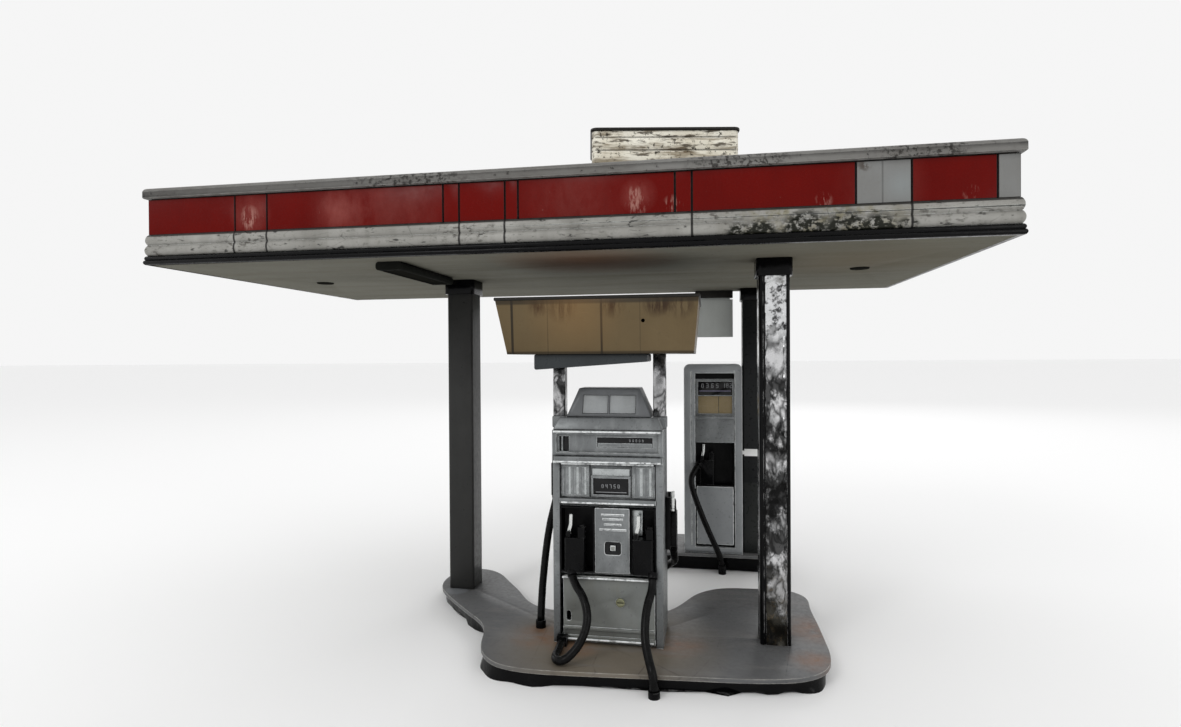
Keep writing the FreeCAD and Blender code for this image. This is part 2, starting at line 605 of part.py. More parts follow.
def make_sign():
    posts = []
    z0 = FRONT_ISLAND_Z + CAP_TOP
    for x in POST_X:
        post = box(x - POST_W / 2, x + POST_W / 2, POST_Y - POST_W / 2, POST_Y + POST_W / 2, z0, SIGN_Z0)
        posts.append(rounded(post, 0.7, Z_AXIS))
    save("sign_posts", posts)
    shelf = prism(((-5.0, -94.0, SIGN_Z0), (50.2, -94.0, SIGN_Z0), (50.2, -94.0, 148.6), (-5.0, -94.0, 144.9)),
                  V(0, 21.0, 0))
    save("sign_shelf", rounded(shelf, 1.0, Y_AXIS))
    low = (SIGN_BOTTOM_X[0], SIGN_BOTTOM_X[1], SIGN_Y0 + 2, SIGN_Y1 - 2)
    high = (SIGN_TOP_X[0], SIGN_TOP_X[1], SIGN_Y0, SIGN_Y1)
    sign = frustum(low, high, SIGN_Z0, SIGN_Z1 - 1.6)
    inner_low = (low[0] + 1.4, low[1] - 1.4, low[2] + 1.4, low[3] - 1.4)
    inner_high = (high[0] + 1.4, high[1] - 1.4, high[2] + 1.4, high[3] - 1.4)
    sign = sign.cut(frustum(inner_low, inner_high, SIGN_Z0 + 1.4, SIGN_Z1 - 1.6))
    x, z = 48.4, 167.9
    sign = sign.cut(rod((x, SIGN_Y0 - 3, z), (x, SIGN_Y0 + 6, z), 0.9))
    save("sign_box", sign)
    lid = box(high[0] - 0.6, high[1] + 0.6, high[2] - 0.6, high[3] + 0.6, SIGN_Z1 - 1.6, SIGN_Z1)
    save("sign_box_lid", rounded(lid, 0.7, X_AXIS))


# ---------------------------------------------------------------- rear dispenser

def rear_box(x0, x1, d0, d1, z0, z1):
    return box(x0, x1, REAR_FRONT_Y + d0, REAR_FRONT_Y + d1, z0, z1)


REAR_BAY = (70.2, 95.6, 60.4, 89.8)
REAR_DISPLAY = (71.4, 95.2, 124.0, 133.6)
REAR_PRICE = (71.4, 95.2, 111.0, 123.4)


def make_rear_dispenser():
    shell = rounded(rear_box(REAR_X0, REAR_X1, 0, REAR_D, REAR_ISLAND_Z, REAR_TOP), 4.0, Y_AXIS)
    foot = rear_box(REAR_X0, REAR_X1, 0, REAR_D, REAR_ISLAND_Z, REAR_ISLAND_Z + 6)
    shell = fused([shell, foot])
    cavity = rear_box(69.4, 96.6, -1, 2.0, 16.5, 139.5)
    inside = rear_box(REAR_X0 + 2, REAR_X1 - 2, 12.0, REAR_D - 2, REAR_ISLAND_Z + SHELL_T, REAR_TOP - 5)
    x0, x1, z0, z1 = REAR_BAY
    bay = rear_box(x0, x1, 0, 10.4, z0, z1)
    edge = [rear_box(REAR_X0 + 5.0, REAR_X0 + 5.5, -1, 0.6, 18, 141),
            rear_box(REAR_X1 - 5.5, REAR_X1 - 5.0, -1, 0.6, 18, 141)]
    rooms = [screw_room(*place) for place in screw_places()]
    bosses = []
    for x, y, foot_z in screw_places():
        if REAR_X0 < x < REAR_X1 and y > 0:
            bosses.append(rod((x, y, foot_z + SHELL_T), (x, y, foot_z + SCREW_BITE + 3), 3.0))
    shell = fused([cut_all(shell, [cavity, bay, inside] + edge)] + bosses)
    save("rear_cabinet", cut_all(shell, rooms))
    frame = rear_box(69.6, 96.4, 0.6, 2.0, 109.4, 135.4)
    ledge = rounded(rear_box(69.6, 96.4, -1.0, 2.0, 107.2, 109.4), 0.5, X_AXIS)
    lower = rear_box(69.6, 96.4, 0.4, 2.0, 90.6, 107.2)
    openings = [rear_box(a, b, 0, 1.6, c, d) for a, b, c, d in (REAR_DISPLAY, REAR_PRICE)]
    save("rear_bezel", cut_all(fused([frame, ledge, lower]), openings))
    a, b, c, d = REAR_PRICE
    split = 85.7
    prices = [rear_box(a, split - 0.15, 1.1, 1.6, c, d), rear_box(split + 0.15, b, 1.1, 1.6, c, d)]
    save("rear_service_door", rounded(rear_box(70.2, 95.8, 0.5, 2.0, 18.4, 59.4), 0.6, Y_AXIS))
    a, b, c, d = REAR_DISPLAY
    return prices + [rear_box(a, b, 1.2, 1.6, c, d)]


def make_column_tag():
    x, y, width, foot, collar = COLUMNS["rear_right_column"]
    face = y - width / 2
    tag = box(103.4, 112.4, face - 0.8, face, 81.0, 86.0)
    plug = box(REAR_X1, 103.4, face - 1.4, face - 0.2, 82.2, 84.8)
    save("column_tag_clip", [tag, plug])


# ---------------------------------------------------------------- nozzles and hoses

NOZZLES = {
    "front_left": (12.7, -82.4, 44.6, 0, 3.6),
    "front_right": (46.5, -82.4, 44.8, 0, 3.6),
    "side_left": (-2.3, -58.0, SIDE_NOZZLE_Z[-1], -90, 2.1),
    "side_right": (59.9, -58.0, SIDE_NOZZLE_Z[1], 90, 2.1),
    "rear": (77.4, 69.8, 61.2, 0, 3.6),
}
GRIP_HALF_W = 5.1
COLLAR_LENGTH = 2.8
GRIP_H = 17.0
TRIGGER_PIVOT = (-3.4, 18.7)


def placed(shape, x, y, z, turn):
    shape = shape.copy()
    shape.rotate(V(0, 0, 0), Z_AXIS, turn)
    shape.translate(V(x, y, z))
    return shape


def nozzle_body(half_depth):
    """Grip block with neck, spout stub, and the two ears and pin that carry the trigger."""
    grip = rounded(box(-GRIP_HALF_W, GRIP_HALF_W, -half_depth, half_depth, 0, GRIP_H), 1.3, Z_AXIS)
    neck = rounded(box(1.4, 5.0, -half_depth * 0.7, half_depth * 0.7, GRIP_H, 22.0), 0.8, Z_AXIS)
    spout = rod((3.2, 0, 21.0), (3.2, 0, 23.0), 1.3)
    px, pz = TRIGGER_PIVOT
    ears = []
    for side in (-1, 1):
        ys = sorted((side * 1.25, side * 1.9))
        ears.append(box(px - 1.1, px + 1.1, ys[0], ys[1], GRIP_H, pz + 0.9))
    pin = rod((px, -1.9, pz), (px, 1.9, pz), PIN_R)
    return fused([grip, neck, spout, pin] + ears)


def trigger_lever():
    """A bent lever that swings on the nozzle's pin."""
    px, pz = TRIGGER_PIVOT
    eye = rod((px, -0.95, pz), (px, 0.95, pz), 1.15)
    lever = prism(((px - 0.9, -0.95, pz + 0.3), (px + 0.9, -0.95, pz + 0.3), (px + 1.9, -0.95, pz + 4.0),
                   (px + 2.1, -0.95, pz + 9.4), (px + 0.5, -0.95, pz + 9.4), (px + 0.3, -0.95, pz + 4.4)),
                  V(0, 1.9, 0))
    return fused([eye, lever]).cut(rod((px, -2, pz), (px, 2, pz), PIN_R + RUNNING))


def make_nozzles():
    for name, (x, y, z, turn, half_depth) in NOZZLES.items():
        body = placed(nozzle_body(half_depth), x, y, z, turn)
        start, after = V(*HOSE_ROUTES[name][0]), V(*HOSE_ROUTES[name][1])
        back = (start - after).normalize()
        root = start + back * COLLAR_LENGTH
        collar = Part.makeCylinder(HOSE_R + 0.4, COLLAR_LENGTH, root, back * -1)
        save(name + "_nozzle", fused([body, collar]))
        save(name + "_trigger", placed(trigger_lever(), x, y, z, turn))


def hose(points):
    """Straight runs joined by tangent arcs, swept with a round section."""
    points = [V(*point) for point in points]
    edges = []
    radii = []
    last = points[0]
    for before, corner, after in zip(points, points[1:], points[2:]):
        into = (corner - before).normalize()
        out = (after - corner).normalize()
        turn = math.acos(max(-1.0, min(1.0, into.dot(out))))
        reach = 0.45 * min((corner - before).Length, (after - corner).Length)
        radii.append(reach / math.tan(turn / 2))
        start = corner - into * reach
        end = corner + out * reach
        bisector = (out - into).normalize()
        sag = radii[-1] * (1 / math.cos(turn / 2) - 1)
        edges.append(Part.LineSegment(last, start).toShape())
        edges.append(Part.Arc(start, corner + bisector * sag, end).toShape())
        last = end
    edges.append(Part.LineSegment(last, points[-1]).toShape())
    path = Part.Wire(edges)
    section = Part.Wire([Part.makeCircle(HOSE_R, points[0], points[1] - points[0])])
    tube = path.makePipeShell([section], True, False, 2)
    return tube, path.Length, radii


def make_hoses(front_curb, rear_curb):
    tubes = []
    for name, route in HOSE_ROUTES.items():
        tube, length, radii = hose(route)
        tubes.append(tube)
        expected = math.pi * HOSE_R ** 2 * length
        print(name, "hose length", round(length, 1), "volume ratio", round(tube.Volume / expected, 4),
              "radii", [round(radius, 1) for radius in radii])
        save(name + "_hose", tube)
    cup_r = 2.7
    sockets = [box(3.9, 8.9, -87.2, PUMP_FRONT_Y - 0.5, FRONT_ISLAND_Z, 12.9)]
    for name in ("side_left", "side_right"):
        x, y, z = HOSE_ROUTES[name][-1]
        sockets.append(rod((x, y, FRONT_ISLAND_Z), (x, y, z), cup_r))
    for name, curb_y, curb in (("front_right", -108.0, front_curb), ("rear", 69.0, rear_curb)):
        x, y, z = HOSE_ROUTES[name][-1]
        lug = box(x - 1.7, x + 1.7, min(y, curb_y), max(y, curb_y), 0, z - 0.6)
        sockets.append(fused([rod((x, y, 0), (x, y, z), cup_r), lug]).cut(curb))
    save("hose_sockets", [cut_all(socket, tubes) for socket in sockets])


def main():
    os.makedirs("parts", exist_ok=True)
    front_curb, rear_curb = make_islands()
    make_columns()
    make_canopy_frame()
    make_soffit()
    make_fascia()
    make_roof_housing()
    make_hanging_panel()
    make_cabinet()
    make_shoulder_cap()
    make_topper()
    glass = make_meter_head()
    make_fluted_panels()
    make_boots()
    make_centre_panel()
    make_service_door()
    make_sign()
    glass += make_rear_dispenser()
    save("display_windows", glass)
    make_column_tag()
    make_nozzles()
    make_hoses(front_curb, rear_curb)


main()
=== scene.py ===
"""Looks of a scale-model filling-station canopy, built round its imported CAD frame."""
import json
import math

import bmesh
import bpy
from mathutils import Matrix, Vector, noise


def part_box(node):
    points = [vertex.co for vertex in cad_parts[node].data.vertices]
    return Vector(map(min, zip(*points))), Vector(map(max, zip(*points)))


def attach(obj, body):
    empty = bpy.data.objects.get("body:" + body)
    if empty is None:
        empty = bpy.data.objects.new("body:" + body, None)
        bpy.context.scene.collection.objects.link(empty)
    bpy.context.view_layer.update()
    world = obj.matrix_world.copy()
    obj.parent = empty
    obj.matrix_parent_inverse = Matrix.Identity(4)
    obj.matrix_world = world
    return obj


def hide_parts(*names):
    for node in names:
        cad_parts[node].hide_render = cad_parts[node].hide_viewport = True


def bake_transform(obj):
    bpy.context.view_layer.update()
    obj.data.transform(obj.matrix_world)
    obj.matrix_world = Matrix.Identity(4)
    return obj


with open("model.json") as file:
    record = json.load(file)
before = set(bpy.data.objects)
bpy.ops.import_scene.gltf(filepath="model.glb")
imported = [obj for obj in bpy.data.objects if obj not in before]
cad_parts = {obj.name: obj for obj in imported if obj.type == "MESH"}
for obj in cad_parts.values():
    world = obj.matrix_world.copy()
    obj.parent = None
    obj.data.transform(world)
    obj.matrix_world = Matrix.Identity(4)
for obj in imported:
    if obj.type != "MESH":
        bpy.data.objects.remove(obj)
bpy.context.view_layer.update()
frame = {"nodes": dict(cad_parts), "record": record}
MM = 0.001
STRUCTURE = "structure"
scene = bpy.context.scene


# ---------------------------------------------------------------- camera, floor and light

CAMERA_PLACE = (0.0776, -0.4054, 0.1501)
CAMERA_YAW, CAMERA_PITCH, CAMERA_ROLL = 0.174, -0.007, -0.006
FOCAL_LENGTH = 20.153
FLOOR_REACH, FLOOR_TONE = 30, 0.93
SKY_STRENGTH = 0.92
LIGHTS = (  # name, place, target, size, watts
    ("key", (-0.7, -1.3, 1.1), (0, 0, 0.12), (0.5, 0.5), 5.0),
    ("fill", (1.3, -0.9, 0.5), (0, 0, 0.12), (0.3, 0.9), 2.2),
    ("back", (0.3, 1.5, 1.0), (0, 0, 0.15), (1.0, 0.5), 3.0),
)


def make_camera():
    data = bpy.data.cameras.new("camera")
    data.sensor_width = 36.0
    data.lens = FOCAL_LENGTH
    data.clip_start, data.clip_end = 0.01, 30.0
    camera = bpy.data.objects.new("camera", data)
    scene.collection.objects.link(camera)
    turn = Matrix.Rotation(CAMERA_YAW, 4, "Z") @ Matrix.Rotation(math.pi / 2 + CAMERA_PITCH, 4, "X")
    camera.matrix_world = Matrix.Translation(CAMERA_PLACE) @ turn @ Matrix.Rotation(CAMERA_ROLL, 4, "Z")
    scene.camera = camera


def area_light(name, place, target, size, power):
    data = bpy.data.lights.new(name, "AREA")
    data.shape = "RECTANGLE"
    data.size, data.size_y = size
    data.energy = power
    light = bpy.data.objects.new(name, data)
    scene.collection.objects.link(light)
    light.location = place
    light.rotation_euler = (Vector(target) - Vector(place)).to_track_quat("-Z", "Y").to_euler()


def make_stage():
    """A wide pale floor under a white sky, with a soft key, a fill and a back light."""
    bm = bmesh.new()
    sides = ((-1, -1), (1, -1), (1, 1), (-1, 1))
    bm.faces.new([bm.verts.new((x * FLOOR_REACH, y * FLOOR_REACH, 0)) for x, y in sides])
    floor = link_mesh("floor", bm)
    paper = bpy.data.materials.new("floor_paper")
    paper.use_nodes = True
    shader = paper.node_tree.nodes["Principled BSDF"]
    shader.inputs["Base Color"].default_value = (FLOOR_TONE, FLOOR_TONE, FLOOR_TONE, 1)
    shader.inputs["Roughness"].default_value = 0.9
    floor.data.materials.append(paper)
    world = bpy.data.worlds.new("sky")
    world.use_nodes = True
    world.node_tree.nodes["Background"].inputs["Color"].default_value = (1.0, 1.0, 1.0, 1)
    world.node_tree.nodes["Background"].inputs["Strength"].default_value = SKY_STRENGTH
    scene.world = world
    for light in LIGHTS:
        area_light(*light)
    scene.view_settings.view_transform = "Standard"


# ---------------------------------------------------------------- mesh helpers

WELD_DISTANCE = 2e-6
FLAT_ANGLE = math.radians(1)
ROUNDED_ANGLE = math.radians(38)


def link_mesh(name, bm):
    mesh = bpy.data.meshes.new(name)
    bmesh.ops.recalc_face_normals(bm, faces=bm.faces)
    bm.to_mesh(mesh)
    bm.free()
    piece = bpy.data.objects.new(name, mesh)
    scene.collection.objects.link(piece)
    return piece


def dress(piece, material, body=STRUCTURE, replaced=()):
    """Give a piece its material, hide the nodes it stands for, and let it ride on a body."""
    if material is not None:
        piece.data.materials.clear()
        piece.data.materials.append(material)
    if replaced:
        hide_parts(*replaced)
    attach(piece, body)
    return piece


def apply_modifiers(piece):
    bpy.context.view_layer.update()
    graph = bpy.context.evaluated_depsgraph_get()
    mesh = bpy.data.meshes.new_from_object(piece.evaluated_get(graph))
    piece.modifiers.clear()
    old = piece.data
    piece.data = mesh
    bpy.data.meshes.remove(old)


def node_bmesh(node):
    """The CAD node's mesh, with its flat faces made whole."""
    source = frame["nodes"][node]
    bm = bmesh.new()
    bm.from_mesh(source.data)
    bm.transform(source.matrix_world)
    bmesh.ops.remove_doubles(bm, verts=bm.verts, dist=WELD_DISTANCE)
    bmesh.ops.dissolve_limit(bm, angle_limit=FLAT_ANGLE, verts=bm.verts, edges=bm.edges)
    return bm


def soften(piece, width, rim=-1):
    """Round the sharp edges by width millimetres; rim is the rounding's material index, or -1 for none."""
    for polygon in piece.data.polygons:
        polygon.use_smooth = True
    bevel = piece.modifiers.new("bevel", "BEVEL")
    bevel.width = width * MM
    bevel.segments = 2
    bevel.limit_method = "ANGLE"
    bevel.angle_limit = ROUNDED_ANGLE
    bevel.harden_normals = True
    bevel.material = rim
    apply_modifiers(piece)
    return piece


def softened_copy(node, width, finish, rim=None):
    """A copy of a CAD node with clean flat faces and rounded edges, which may have a finish of their own."""
    piece = link_mesh(node + "_shape", node_bmesh(node))
    piece.data.materials.append(finish)
    if rim is not None:
        piece.data.materials.append(rim)
    return soften(piece, width, rim=-1 if rim is None else 1)


# ---------------------------------------------------------------- material helpers

def tone(red, green, blue):
    """Linear colour of an 8-bit display colour."""
    values = []
    for channel in (red, green, blue):
        share = channel / 255
        values.append(share / 12.92 if share <= 0.04045 else ((share + 0.055) / 1.055) ** 2.4)
    return (*values, 1.0)


class Finish:
    """A Principled material whose colour, roughness and relief are built up in layers."""

    def __init__(self, name, colour, roughness=0.5, metallic=0.0, specular=0.2):
        self.name = name
        self.material = bpy.data.materials.new(name)
        self.material.use_nodes = True
        self.tree = self.material.node_tree
        self.shader = self.tree.nodes["Principled BSDF"]
        self.shader.inputs["Base Color"].default_value = colour
        self.shader.inputs["Roughness"].default_value = roughness
        self.shader.inputs["Metallic"].default_value = metallic
        self.shader.inputs["Specular IOR Level"].default_value = specular
        self.base = colour
        self.last_bump = None
        self.place = self.add("ShaderNodeTexCoord").outputs["Object"]

    def add(self, kind, **settings):
        node = self.tree.nodes.new(kind)
        for key, value in settings.items():
            setattr(node, key, value)
        return node

    def wire(self, source, socket):
        self.tree.links.new(source, socket)

    def stretched(self, stretch, offset=(0, 0, 0)):
        mapping = self.add("ShaderNodeMapping")
        mapping.inputs["Scale"].default_value = stretch
        mapping.inputs["Location"].default_value = offset
        self.wire(self.place, mapping.inputs["Vector"])
        return mapping.outputs["Vector"]

    def noise(self, size, detail=4.0, stretch=(1, 1, 1), offset=(0, 0, 0), distortion=0.0, rough=0.55):
        """Noise whose blotches are about size millimetres."""
        node = self.add("ShaderNodeTexNoise")
        node.inputs["Scale"].default_value = 1000.0 / size
        node.inputs["Detail"].default_value = detail
        node.inputs["Roughness"].default_value = rough
        node.inputs["Distortion"].default_value = distortion
        self.wire(self.stretched(stretch, offset), node.inputs["Vector"])
        return node.outputs["Fac"]

    def cracks(self, size, stretch=(1, 1, 1)):
        """Distance to the nearest cell edge: near 0 on thin lines."""
        node = self.add("ShaderNodeTexVoronoi", feature="DISTANCE_TO_EDGE")
        node.inputs["Scale"].default_value = 1000.0 / size
        self.wire(self.stretched(stretch), node.inputs["Vector"])
        return node.outputs["Distance"]

    def between(self, source, low, high, out_low=0.0, out_high=1.0):
        node = self.add("ShaderNodeMapRange")
        node.inputs["From Min"].default_value = low
        node.inputs["From Max"].default_value = high
        node.inputs["To Min"].default_value = out_low
        node.inputs["To Max"].default_value = out_high
        self.wire(source, node.inputs["Value"])
        return node.outputs["Result"]

    def axis(self, letter):
        """The object's own X, Y or Z in metres."""
        node = self.add("ShaderNodeSeparateXYZ")
        self.wire(self.place, node.inputs[0])
        return node.outputs[letter]

    def band(self, letter, low, high, soft=1.0):
        """1 between two places along an axis, in millimetres, fading over soft millimetres."""
        value = self.axis(letter)
        rise = self.between(value, (low - soft) * MM, low * MM)
        fall = self.between(value, high * MM, (high + soft) * MM, 1.0, 0.0)
        return self.product(rise, fall)

    def product(self, *sources):
        result = sources[0]
        for source in sources[1:]:
            node = self.add("ShaderNodeMath", operation="MULTIPLY")
            self.wire(result, node.inputs[0])
            self.put(source, node.inputs[1])
            result = node.outputs[0]
        return result

    def put(self, value, socket):
        if isinstance(value, (int, float)):
            socket.default_value = value
        else:
            self.wire(value, socket)

    def layer(self, mask, colour):
        """Lay a colour over what is there, where the mask is 1."""
        node = self.add("ShaderNodeMix", data_type="RGBA")
        node.clamp_factor = True
        self.wire(mask, node.inputs["Factor"])
        socket = self.shader.inputs["Base Color"]
        if socket.links:
            self.wire(socket.links[0].from_socket, node.inputs[6])
        else:
            node.inputs[6].default_value = self.base
        node.inputs[7].default_value = colour
        self.wire(node.outputs[2], socket)
        return self

    def rough(self, source, low, high):
        self.wire(self.between(source, 0.3, 0.7, low, high), self.shader.inputs["Roughness"])
        return self

    def relief(self, source, height, strength=1.0):
        """Bump of about height millimetres."""
        node = self.add("ShaderNodeBump")
        node.inputs["Distance"].default_value = height * MM
        node.inputs["Strength"].default_value = strength
        self.wire(source, node.inputs["Height"])
        if self.last_bump is not None:
            self.wire(self.last_bump, node.inputs["Normal"])
        self.last_bump = node.outputs["Normal"]
        self.wire(self.last_bump, self.shader.inputs["Normal"])
        return self

    def edges(self, radius):
        """1 on sharp edges, fading over radius millimetres."""
        bevel = self.add("ShaderNodeBevel", samples=4)
        bevel.inputs["Radius"].default_value = radius * MM
        geometry = self.add("ShaderNodeNewGeometry")
        dot = self.add("ShaderNodeVectorMath", operation="DOT_PRODUCT")
        self.wire(bevel.outputs["Normal"], dot.inputs[0])
        self.wire(geometry.outputs["Normal"], dot.inputs[1])
        return self.between(dot.outputs["Value"], 0.985, 0.86)

    def hollows(self, reach=3.0):
        """1 in corners and recesses that other surfaces shade."""
        node = self.add("ShaderNodeAmbientOcclusion", samples=4)
        node.inputs["Distance"].default_value = reach * MM
        return self.between(node.outputs["AO"], 0.9, 0.35)

    def near(self, place, reach, soft=0.5):
        """1 within reach millimetres of a place, fading to 0."""
        node = self.add("ShaderNodeVectorMath", operation="DISTANCE")
        self.wire(self.place, node.inputs[0])
        node.inputs[1].default_value = [value * MM for value in place]
        return self.between(node.outputs["Value"], reach * MM, reach * MM * (1 - soft))

    def specks(self, size, low, high, stretch=(1, 1, 1), offset=(0, 0, 0)):
        """Scattered blots of about size millimetres."""
        return self.between(self.noise(size, 6.0, stretch, offset, rough=0.7), low, high)

    def blots(self, share, colour, *pattern):
        """Lay a colour over a share of what shows in specks(*pattern)."""
        return self.layer(self.product(self.specks(*pattern), share), colour)

    def patch(self, share, colour, *reach):
        """Lay a colour over a share of what shows in near(*reach)."""
        return self.layer(self.product(self.near(*reach), share), colour)

    def strip(self, share, colour, *limits):
        """Lay a colour over a share of what shows in band(*limits)."""
        return self.layer(self.product(self.band(*limits), share), colour)

    def mottle(self, share, colour, reach, pattern):
        """Lay a colour over a share of the specks(*pattern) that lie in near(*reach)."""
        return self.layer(self.product(self.near(*reach), self.specks(*pattern), share), colour)


def painted(name, colour, dirt, worn=None, roughness=0.42, metallic=0.0, drift=30.0, streaks=0.3, specks=0.35,
            wear_and_highlight_reach=0.5, corner_shade=0.7, specular=0.2):
    """Aged paint: slow colour drift, runs, specks, painted shade in the corners, and pale edges that are
    partly worn paint and partly a painted highlight.
    """
    finish = Finish(name, colour, roughness, metallic, specular)
    finish.layer(finish.product(finish.between(finish.noise(drift, 3.0), 0.35, 0.7), 0.5), dirt)
    runs = finish.between(finish.noise(9.0, 4.0, (1, 1, 0.12)), 0.45, 0.75)
    finish.layer(finish.product(runs, streaks), dirt)
    grain = finish.noise(2.6, 5.0, rough=0.7)
    finish.layer(finish.product(finish.between(grain, 0.56, 0.72), specks), dirt)
    if corner_shade:
        # Painted shade: near-black laid into corners and recesses by the ambient-occlusion mask.
        finish.layer(finish.product(finish.hollows(), corner_shade), (0.008, 0.008, 0.008, 1))
    if worn is not None:
        # Pale edges: partly worn paint, partly a painted highlight that brightens concave and convex edges
        # alike.
        patchy = finish.between(finish.noise(4.0, 4.0), 0.36, 0.58, 0.15, 1.0)
        finish.layer(finish.product(finish.edges(wear_and_highlight_reach), patchy), worn)
    finish.rough(grain, roughness - 0.08, roughness + 0.12)
    finish.relief(finish.noise(1.6, 3.0), 0.03, 0.6)
    return finish


def pump_grey():
    finish = painted("pump_grey", tone(120, 123, 124), tone(92, 94, 95), tone(206, 210, 210), 0.3, 0.3,
                     streaks=0.35, corner_shade=0.85)
    finish.blots(0.4, tone(146, 149, 149), 11.0, 0.5, 0.64, (1, 1, 0.5))
    return finish


def door_grey():
    finish = painted("door_grey", tone(116, 119, 117), tone(96, 97, 92), tone(206, 210, 206), 0.32, 0.2)
    finish.blots(0.25, tone(112, 106, 84), 7.0, 0.5, 0.75, (1, 1, 0.2))
    return finish


def rear_door_grey():
    """A lighter grey for the rear pieces, painted lighter to make up for the canopy's shade on them, so that
    they look as pale as the front ones.
    """
    return painted("rear_grey_lifted_for_shade", tone(150, 153, 155), tone(122, 125, 127), tone(226, 230, 230), 0.32, 0.2,
                   wear_and_highlight_reach=0.9)


def rim_wear_and_highlight():
    """Bright rims, partly bare where the paint has rubbed off and partly a painted highlight, broken by
    patches that kept the paint.
    """
    finish = Finish("rim_wear_and_highlight", tone(226, 229, 229), 0.22, 0.15, 0.5)
    finish.blots(0.85, tone(122, 125, 126), 5.0, 0.5, 0.6)
    finish.blots(0.8, tone(62, 63, 63), 2.0, 0.58, 0.66)
    finish.rough(finish.noise(3.0), 0.14, 0.4)
    finish.relief(finish.noise(2.4, 4.0), 0.2, 0.6)
    return finish


def topper_grey():
    return painted("topper_grey", tone(102, 104, 106), tone(82, 84, 85), None, 0.34, 0.2, streaks=0.2)


SLAB_TOP = 8


def slab():
    """Grey-brown printed concrete, rusty round the cabinet and the right column, with a bright worn rim."""
    finish = painted("slab", tone(96, 97, 98), tone(72, 72, 72), None, 0.42, streaks=0.0, specks=0.5)
    low, high = (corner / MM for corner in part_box("front_cabinet"))
    middle = (low + high) / 2
    rust = tone(124, 84, 54)
    finish.patch(0.7, tone(116, 106, 90), (middle.x, low.y, SLAB_TOP), 62, 0.5)
    for x, y, reach in ((low.x - 6, low.y + 4, 20), (high.x + 6, low.y + 4, 17),
                        (middle.x - 16, low.y - 8, 14), (132, -46, 22), (127, -84, 14)):
        finish.mottle(0.8, rust, ((x, y, SLAB_TOP), reach, 0.9), (16.0, 0.3, 0.6))
    finish.blots(0.5, tone(112, 110, 108), 18.0, 0.5, 0.64, (0.35, 1.6, 1))
    scratched = finish.between(finish.cracks(31.0, (1, 0.35, 1)), 0.0, 0.01, 0.5, 0.0)
    scratched = finish.product(scratched, finish.specks(20.0, 0.45, 0.6))
    finish.layer(scratched, tone(40, 39, 37))
    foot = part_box("left_column")[0] / MM
    finish.patch(0.7, tone(112, 115, 118), (foot.x + 6, foot.y - 3, SLAB_TOP), 8, 0.3)
    finish.layer(finish.product(finish.edges(0.6), finish.specks(7.0, 0.34, 0.56)), tone(186, 184, 178))
    finish.relief(finish.noise(5.0, 5.0), 0.12, 0.5)
    return finish


def gloss_black(name, roughness, lump, height, rim):
    """Moulded black plastic with uneven gloss and rubbed rims."""
    finish = Finish(name, tone(5, 5, 6), roughness, specular=0.1)
    finish.blots(0.4, tone(16, 16, 15), 5.0, 0.5, 0.75)
    finish.layer(finish.product(finish.edges(0.4), finish.specks(9.0, 0.47, 0.58)), tone(rim, rim, rim))
    finish.rough(finish.noise(3.0), roughness - 0.04, roughness + 0.14)
    finish.relief(finish.noise(lump, 3.0), height, 0.8)
    return finish


def worn_chrome(name, foot, black_bands, blot_share, bright):
    """Bright plating with dark dents, black worn bands, a paler band near the top, and darker and browner
    towards the foot.
    """
    finish = Finish(name, tone(bright, bright, bright + 1), 0.14, 1.0)
    lower = finish.between(finish.axis("Z"), (foot + 44) * MM, (foot + 14) * MM)
    edge = 0.6 - 0.3 * blot_share
    finish.blots(0.75, tone(112, 113, 113), 8.0, 0.46, 0.6, (1, 1, 0.6))
    finish.blots(0.92, tone(44, 44, 44), 14.0, edge, edge + 0.07, (1, 1, 0.6))
    ridge = finish.noise(9.0, 2.0, (1, 1, 0.6), (0.3, 0.1, 0.7), distortion=0.7)
    squiggle = finish.product(finish.between(ridge, 0.44, 0.5), finish.between(ridge, 0.56, 0.5), 0.85)
    finish.layer(squiggle, tone(30, 30, 30))
    for low, high in black_bands:
        level = finish.band("Z", low, high, 5.0)
        worn = finish.product(level, finish.specks(8.0, 0.38, 0.5, (1, 1, 0.7)), 0.95)
        finish.layer(worn, tone(22, 22, 22))
    # Darker and browner towards the foot.
    finish.layer(finish.product(lower, finish.specks(5.0, 0.36, 0.5, (1, 1, 0.6)), 0.88), tone(58, 56, 50))
    finish.layer(finish.product(lower, finish.specks(4.0, 0.55, 0.64), 0.7), tone(104, 92, 74))
    finish.layer(finish.specks(2.4, 0.62, 0.68), tone(18, 17, 16))
    # A paler band near the top.
    level = finish.band("Z", foot + 156, foot + 184, 8.0)
    clean = finish.product(level, finish.specks(5.0, 0.44, 0.52), 0.85)
    finish.layer(clean, tone(226, 227, 228))
    finish.rough(finish.noise(5.0, 4.0), 0.06, 0.32)
    finish.relief(finish.noise(8.0, 3.0, (1, 1, 0.5), distortion=0.6), 0.6, 0.6)
    return finish


PANEL_FRONT, MOULDING_FRONT, COPING_FRONT = -111, -112, -113
FADES_AND_SHEEN = (  # x, z, reach, size of the blotches, share; faded paint, but the row at x -100 is a painted pale sheen
    (-90, 224, 26, 18, 0.22), (-145, 223, 12, 12, 0.26), (48, 223, 9, 8, 0.25), (18, 223, 28, 16, 0.12),
    (150, 222, 20, 16, 0.12), (-60, 222, 20, 14, 0.14), (-100, 223, 10, 30, 0.35),
)
CHIPS = (  # x, z, reach
    (47, 219, 6), (46, 224, 4), (63, 218, 5), (127, 217, 4), (185, 217, 4), (197, 218, 3), (-146, 222, 6),
    (-146, 219, 5),
)


